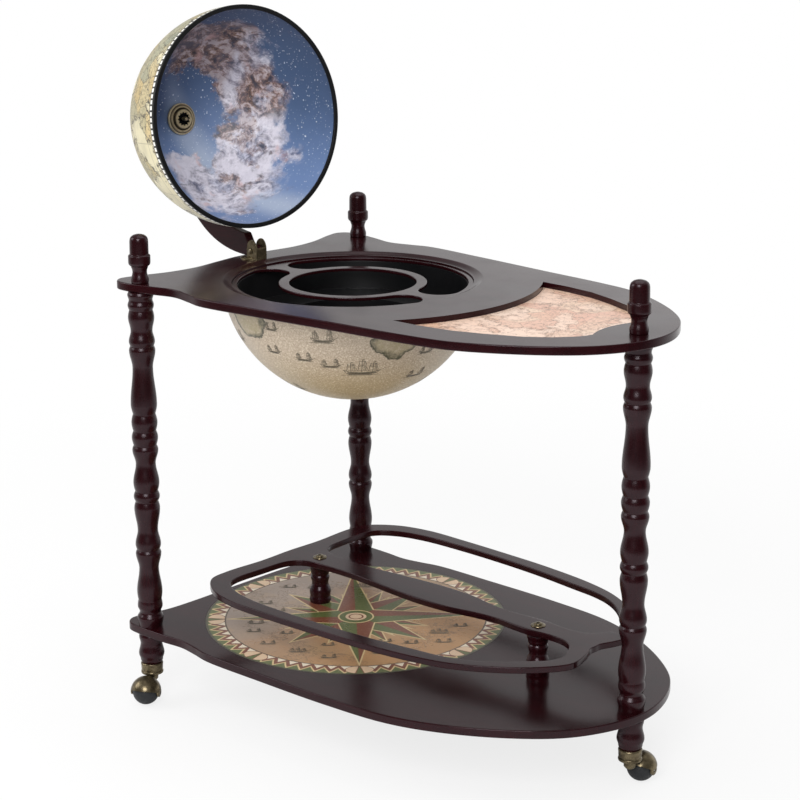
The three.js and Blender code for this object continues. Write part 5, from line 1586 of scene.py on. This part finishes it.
class GLOBE_BAR_OT_hinge(bpy.types.Operator):
    """Makes the brass fork on its round base, the pin and the two screws"""

    bl_idname = "globe_bar.hinge"
    bl_label = "Hinge"
    bl_options = {"REGISTER", "UNDO"}

    def execute(self, context):
        table, globe = table_sizes(), globe_sizes()
        pin, axis, _ = hinge_joint()
        base_top = table.top + HINGE_BASE_HEIGHT
        base_x = pin.x - HINGE_BASE_BEHIND
        base_edge = turned_metal(HINGE_BASE_EDGE, table.top, globe.hinge_base)
        base_profile = [(0, table.top), *base_edge, (0, base_top)]
        bracket = spin("base", base_profile, 72, Matrix.Translation((base_x, 0.0, 0.0)))
        width = globe.fork_gap + FORK_CHEEK
        along = Matrix.Translation(pin) @ axis.to_track_quat("Z", "Y").to_matrix().to_4x4()
        fork = self.fork(globe, pin, along, base_top, pin.z - table.top, width)
        bracket = joined(bracket, [fork], "UNION")
        screw_places = [
            Matrix.Translation((base_x, side * (width + HINGE_SCREW_OUT), 0.0)) for side in (1, -1)
        ]
        bore = rod_profile(HINGE_SCREW_BORE, table.top - OVERRUN, base_top + OVERRUN)
        holes = [spin("hole", bore, 32, place) for place in screw_places]
        bracket = cleaned(joined(bracket, holes, "DIFFERENCE"), 2e-5)
        dress(softened(bracket, EDGE_ROUND["bracket"], 2, 40), aged_brass(), "hinge_bracket", angle=45)

        half = width + HINGE_PIN_OUT
        pin_end = [(globe.pin, half - HINGE_PIN_NECK), *turned_metal(HINGE_PIN_HEAD, half)]
        dress(spin("pin", both_ends(pin_end), 40, along), aged_brass(), "hinge_pin")
        low = table.top - HINGE_SCREW_REACH
        head = turned_metal(HINGE_SCREW_HEAD, base_top)
        for index, place in enumerate(screw_places):
            screw = spin("screw", [(0, low), (head[0][0], low), *head], 40)
            screw = joined(screw, self.cross_slot(base_top), "DIFFERENCE")
            dress(screw, aged_brass(), f"hinge_screw_{index + 1}", place)
        return {"FINISHED"}

    def fork(self, globe, pin, along, base_top, height, width):
        """Two cheeks with a low wall in front, bored for the pin"""
        reach = globe.fork + FORK_FRONT
        crown = [
            (FORK_FRONT / 2 + (globe.fork + FORK_FRONT / 2) * x, FORK_CROWN_FOOT + FORK_CROWN_RISE * y)
            for x, y in arc(0.0, 0.0, 1.0, 0.0, 180.0, 32)
        ]
        cheek = [(-globe.fork, -height), (reach, -height), *crown]
        fork = slab("fork", [cheek], -width, 2 * width)
        fork.data.transform(Matrix.Translation((pin.x, 0.0, pin.z)) @ Matrix.Rotation(math.pi / 2, 4, "X"))
        gap = globe.fork_gap
        room_top = pin.z + 2 * globe.fork + OVERRUN
        room = block(
            "room",
            (pin.x - globe.fork - OVERRUN, -gap, base_top), (pin.x + reach - FORK_FRONT_WALL, gap, room_top),
        )
        above = block(
            "above", (pin.x, -gap, pin.z + FORK_FRONT_TOP), (pin.x + FORK_PAST, gap, pin.z + FORK_PAST)
        )
        hole = spin("hole", rod_profile(globe.pin + SEAT_GAP, -3 * width, 3 * width), 40, along)
        return joined(fork, [room, above, hole], "DIFFERENCE")

    def cross_slot(self, base_top):
        """The two cuts of a cross slot in a screw's head"""
        reach, half = CROSS_SLOT_REACH, CROSS_SLOT_HALF
        low, high = base_top + CROSS_SLOT_FLOOR, base_top + CROSS_SLOT_TOP
        cut = block("cut", (-reach, -half, low), (reach, half, high))
        return [cut, block("cross", (-half, -reach, low), (half, reach, high))]


class GLOBE_BAR_OT_lid(bpy.types.Operator):
    """Makes the printed dome, its star sky liner and the black ring on its edge"""

    bl_idname = "globe_bar.lid"
    bl_label = "Lid"
    bl_options = {"REGISTER", "UNDO"}

    def execute(self, context):
        globe = globe_sizes()
        place = lid_frame()
        bore = globe.pin + SEAT_GAP
        wall = globe.wall
        outside = shell_points(globe.rim, globe.lid_depth, 0.0, bore, 64)
        inside = shell_points(globe.rim - wall, globe.lid_depth - wall, 0.0, bore, 64)
        dome = spin("dome", [*outside, *reversed(inside), outside[0]], 160)
        dress(dome, dome_print(), "lid_dome", place)
        skin = wall + SEAT_GAP
        outer_skin = shell_points(globe.rim - skin, globe.lid_depth - skin, 0.0, bore, 64)
        skin += globe.liner
        inner_skin = shell_points(globe.rim - skin, globe.lid_depth - skin, 0.0, bore, 64)
        liner = spin("liner", [*outer_skin, *reversed(inner_skin), outer_skin[0]], 160)
        dress(liner, sky_print(), "lid_liner", place)
        ring = spin("ring", ring_profile(globe.lid_ring_in, globe.lid_ring_out, -globe.lid_ring, 0.0), 160)
        dress(softened(ring, EDGE_ROUND["lid_ring"], 3), black_plastic(0.4), "lid_ring", place)
        return {"FINISHED"}


class GLOBE_BAR_OT_pole(bpy.types.Operator):
    """Makes the brass flange with its twelve-pointed socket, the nut, pin, washer and knob of the pole"""

    bl_idname = "globe_bar.pole"
    bl_label = "Pole fittings"
    bl_options = {"REGISTER", "UNDO"}

    def execute(self, context):
        globe = globe_sizes()
        place = lid_frame()
        radius, height = globe.pole_flange, globe.pole_flange_height
        bore = globe.pin + SEAT_GAP
        bottom = self.span("pole_flange", place)[0]
        seat = bottom + height
        steps = [(radius * r, bottom + height * z) for r, z in POLE_FLANGE]
        profile = [(bore, bottom), *steps, (bore, seat), (bore, bottom)]
        flange = spin("flange", profile, 96)
        star = []
        for index in range(2 * SOCKET_POINTS):
            reach = radius * (SOCKET_IN if index % 2 else SOCKET_OUT)
            turn = math.tau * index / (2 * SOCKET_POINTS)
            star.append((reach * math.cos(turn), reach * math.sin(turn)))
        socket = slab("socket", [star], bottom - OVERRUN, height * SOCKET_DEPTH + OVERRUN)
        flange = joined(flange, [socket], "DIFFERENCE")
        dress(flange, flange_brass(radius, bottom, height), "pole_flange", place)

        def fitted(node, points, material, sides=48):
            dress(spin(node, points, sides), material, node, place)

        arm_outer = math.hypot(*arm_offsets()) + globe.arm / 2
        pin_high = self.span("pole_pin", place)[1]
        end = bottom - POLE_PIN_OUT
        quarter = arc(0.0, 0.0, 1.0, 0.0, 90.0, 8)[:-1]
        tip = [(globe.pin * x, end + globe.pin * (1 - y)) for x, y in reversed(quarter)]
        # Painted light: the pin gets a brighter, lit copy of the brass
        fitted("pole_pin", [(0, end), *tip, (globe.pin, pin_high), (0, pin_high)], aged_brass(1.0))
        nut_low, nut_high = self.span("pole_nut", place)
        wide = globe.pin * NUT_WIDE
        nut = [(wide * NUT_CHAMFER_IN, nut_low), (wide, nut_low + NUT_CHAMFER), (wide, nut_high)]
        # Painted shadow: the nut's steel is darkened almost to black to stand for the shade in the star socket
        fitted("pole_nut", [(bore, nut_low), *nut, (bore, nut_high), (bore, nut_low)], steel(0.05), 6)
        washer_low, washer_high = self.span("pole_washer", place)
        wide = globe.pin * WASHER_WIDE
        fitted("pole_washer", ring_profile(bore, wide, washer_low, washer_high), aged_brass())
        knob = [(bore, arm_outer), *((wide * r, arm_outer + share * globe.knob) for r, share in KNOB)]
        knob += [(0, pin_high + SEAT_GAP), (bore, pin_high + SEAT_GAP), (bore, arm_outer)]
        fitted("pole_knob", knob, aged_brass(), 64)
        return {"FINISHED"}

    def span(self, node, place):
        """Lowest and highest point of a CAD node along the lid's own axis"""
        back = place.inverted()
        heights = [(back @ corner.co).z for corner in frame["nodes"][node].data.vertices]
        return min(heights), max(heights)


class GLOBE_BAR_OT_arm(bpy.types.Operator):
    """Makes the wooden arm from the hinge to the pole"""

    bl_idname = "globe_bar.arm"
    bl_label = "Arm"
    bl_options = {"REGISTER", "UNDO"}

    def execute(self, context):
        globe = globe_sizes()
        reach, rise = arm_offsets()
        radius = math.hypot(reach, rise)
        half = globe.arm / 2
        hinge_angle = math.degrees(math.atan2(rise, reach))
        pole_angle = 90 + ARM_POLE_PAST

        def at(angle, distance):
            return (-distance * math.cos(math.radians(angle)), distance * math.sin(math.radians(angle)))

        def outer(angle):
            return radius + half + ARM_BULGE * math.sin(math.radians(2 * min(angle, 90.0))) ** 2

        def inner(angle):
            """Just outside the dome, and narrower at the hinge so that the fork's front stays clear"""
            turn = math.radians(angle)
            dome = 1 / math.hypot(math.cos(turn) / globe.rim, math.sin(turn) / globe.lid_depth)
            near = dome + ARM_DOME_GAP + ARM_DOME_GAP_GROWTH * max(0.0, 1 - angle / 90.0)
            share = min(max((angle - ARM_NECK_START) / ARM_NECK_SPAN, 0.0), 1.0)
            share = share * share * (3 - 2 * share)
            return (radius - half) * (1 - share) + min(near, radius - half) * share

        def end(angle, first, last):
            x, z = at(angle, radius)
            return arc(x, z, half, first, last, 20)[1:-1]

        steps = 90
        angles = [hinge_angle + (pole_angle - hinge_angle) * step / steps for step in range(steps + 1)]
        outline = [
            *(at(angle, outer(angle)) for angle in reversed(angles)),
            *end(hinge_angle, 180 - hinge_angle, 360 - hinge_angle),
            *(at(angle, inner(angle)) for angle in angles),
            *end(pole_angle, -pole_angle, 180 - pole_angle),
        ]
        arm = slab("arm", [outline], -globe.arm_width / 2, globe.arm_width, ARM_EDGE)
        arm.data.transform(Matrix.Rotation(math.pi / 2, 4, "X"))
        dress(arm, lacquer("Z", 0.3, 0.1), "meridian_arm", lid_frame(), 30)
        return {"FINISHED"}


class GLOBE_BAR_OT_hardware(bpy.types.Operator):
    """Gives the steel finish to the bolts and screws that sit inside the wood"""

    bl_idname = "globe_bar.hardware"
    bl_label = "Hidden hardware"
    bl_options = {"REGISTER", "UNDO"}

    def execute(self, context):
        for name, node in frame["nodes"].items():
            if name.startswith(("top_bolt_", "shelf_bolt_", "ring_screw_")):
                for slot in node.material_slots:
                    slot.material = steel()
        return {"FINISHED"}


class GLOBE_BAR_OT_stage(bpy.types.Operator):
    """Sets the pale floor, the soft studio light and the camera"""

    bl_idname = "globe_bar.stage"
    bl_label = "Stage"
    bl_options = {"REGISTER", "UNDO"}

    def execute(self, context):
        scene = context.scene
        scene.view_settings.view_transform = "Standard"
        self.floor()
        self.world(scene)
        self.lamps()
        self.camera(scene)
        return {"FINISHED"}

    def floor(self):
        """A pale disc that keeps the shadow and turns white towards its edge"""
        finish = Finish("studio_floor")
        place = finish.place()
        tone = finish.blend((0.86, 0.86, 0.86), (0.9, 0.9, 0.9), finish.noise(place, 3.0))
        finish.use(base_color=tone, roughness=0.9, specular_ior_level=0.0)
        glow = finish.add("ShaderNodeEmission", None, {"Color": (1.0, 1.0, 1.0), "Strength": 1.0})
        path = finish.tree.nodes.new("ShaderNodeLightPath")
        seen = Value(finish, path.outputs["Is Camera Ray"])
        x, y, _ = finish.axes(place)
        far = ((x * x + y * y) ** 0.5).smooth(0.7, 1.9)
        plain_floor = Value(finish, finish.surface.outputs[0])
        inputs = {0: seen * (0.8 + far * 0.2), 1: plain_floor, 2: glow}
        mixed = finish.add("ShaderNodeMixShader", None, inputs)
        finish.feed(finish.tree.nodes["Material Output"].inputs["Surface"], mixed)
        bottom = -FLOOR_THICKNESS - FLOOR_DROP
        floor = slab("floor", [circle(0.0, 0.0, FLOOR_RADIUS)], bottom, FLOOR_THICKNESS)
        floor.data.materials.append(finish.material)

    def world(self, scene):
        """White for the camera, and for reflections a studio that is bright behind the object"""
        world = scene.world or bpy.data.worlds.new("studio")
        scene.world = world
        world.use_nodes = True
        nodes = Nodes(world.node_tree)
        path = nodes.tree.nodes.new("ShaderNodeLightPath")
        camera_ray = Value(nodes, path.outputs["Is Camera Ray"])
        glossy_ray = Value(nodes, path.outputs["Is Glossy Ray"])
        x, y, z = nodes.axes(nodes.add("ShaderNodeTexCoord", output="Generated"))
        right_x, right_y = STUDIO_RIGHT
        behind = (x * -right_y + y * right_x).smooth(-0.35, 0.5)
        right = x * right_x + y * right_y
        back_wall = 0.78 + right.smooth(-0.04, 0.16) * 0.34 - z.smooth(0.22, 0.5) * 0.4
        front_wall = z.smooth(0.25, 0.9) * 0.4 + 0.015
        studio = behind * back_wall + (1 - behind) * front_wall
        level = camera_ray + (1 - camera_ray) * (glossy_ray * studio + (1 - glossy_ray) * 0.62)
        background = nodes.tree.nodes["Background"]
        nodes.feed(background.inputs["Color"], (1.0, 1.0, 1.0))
        nodes.feed(background.inputs["Strength"], level)

    def lamps(self):
        for name, place, size, power in LAMPS:
            lamp = bpy.data.lights.new(name, "AREA")
            lamp.shape = "SQUARE"
            lamp.size = size
            lamp.energy = power
            light = new_piece(name, lamp)
            light.location = place
            aim = Vector(LAMP_TARGET) - Vector(place)
            light.rotation_euler = aim.to_track_quat("-Z", "Y").to_euler()

    def camera(self, scene):
        camera = bpy.data.cameras.new("camera")
        camera.lens = CAMERA_LENS
        camera.sensor_width = 36.0
        camera.shift_y = CAMERA_SHIFT
        holder = new_piece("camera", camera)
        forward = Vector(CAMERA_FORWARD).normalized()
        across = Vector((-forward.y, forward.x, 0.0)).normalized() * -1.0
        up = across.cross(forward)
        roll = math.radians(CAMERA_ROLL)
        right = across * math.cos(roll) + up * math.sin(roll)
        up = right.cross(forward)
        turn = Matrix((right, up, -forward)).transposed().to_4x4()
        holder.matrix_world = Matrix.Translation(CAMERA_PLACE) @ turn
        scene.camera = holder


OPERATORS = (
    GLOBE_BAR_OT_boards, GLOBE_BAR_OT_map_panel, GLOBE_BAR_OT_medallion, GLOBE_BAR_OT_legs,
    GLOBE_BAR_OT_casters, GLOBE_BAR_OT_rail, GLOBE_BAR_OT_bowl, GLOBE_BAR_OT_rack, GLOBE_BAR_OT_hinge,
    GLOBE_BAR_OT_lid, GLOBE_BAR_OT_pole, GLOBE_BAR_OT_arm, GLOBE_BAR_OT_hardware, GLOBE_BAR_OT_stage,
)
GROUPS = {
    "globe_bar_table": TableSizes, "globe_bar_globe": GlobeSizes, "globe_bar_casters": CasterSizes,
    "globe_bar_finishes": Finishes,
}


class GLOBE_BAR_PT_panel(bpy.types.Panel):
    """Steps, sizes and colours of the globe bar"""

    bl_label = "Globe bar"
    bl_idname = "GLOBE_BAR_PT_panel"
    bl_space_type = "VIEW_3D"
    bl_region_type = "UI"
    bl_category = "Globe bar"

    def draw(self, context):
        column = self.layout.column(align=True)
        for operator in OPERATORS:
            column.operator(operator.bl_idname)
        for name, group in GROUPS.items():
            box = self.layout.box()
            box.label(text=group.__doc__)
            for key in group.__annotations__:
                box.prop(getattr(context.scene, name), key)


def register():
    for kind in (*GROUPS.values(), *OPERATORS, GLOBE_BAR_PT_panel):
        bpy.utils.register_class(kind)
    for name, group in GROUPS.items():
        setattr(bpy.types.Scene, name, PointerProperty(type=group))


def unregister():
    for name in GROUPS:
        delattr(bpy.types.Scene, name)
    for kind in (GLOBE_BAR_PT_panel, *reversed(OPERATORS), *reversed(GROUPS.values())):
        bpy.utils.unregister_class(kind)


def main():
    register()
    for operator in OPERATORS:
        group, name = operator.bl_idname.split(".")
        getattr(getattr(bpy.ops, group), name)()


if __name__ == "__main__":
    main()
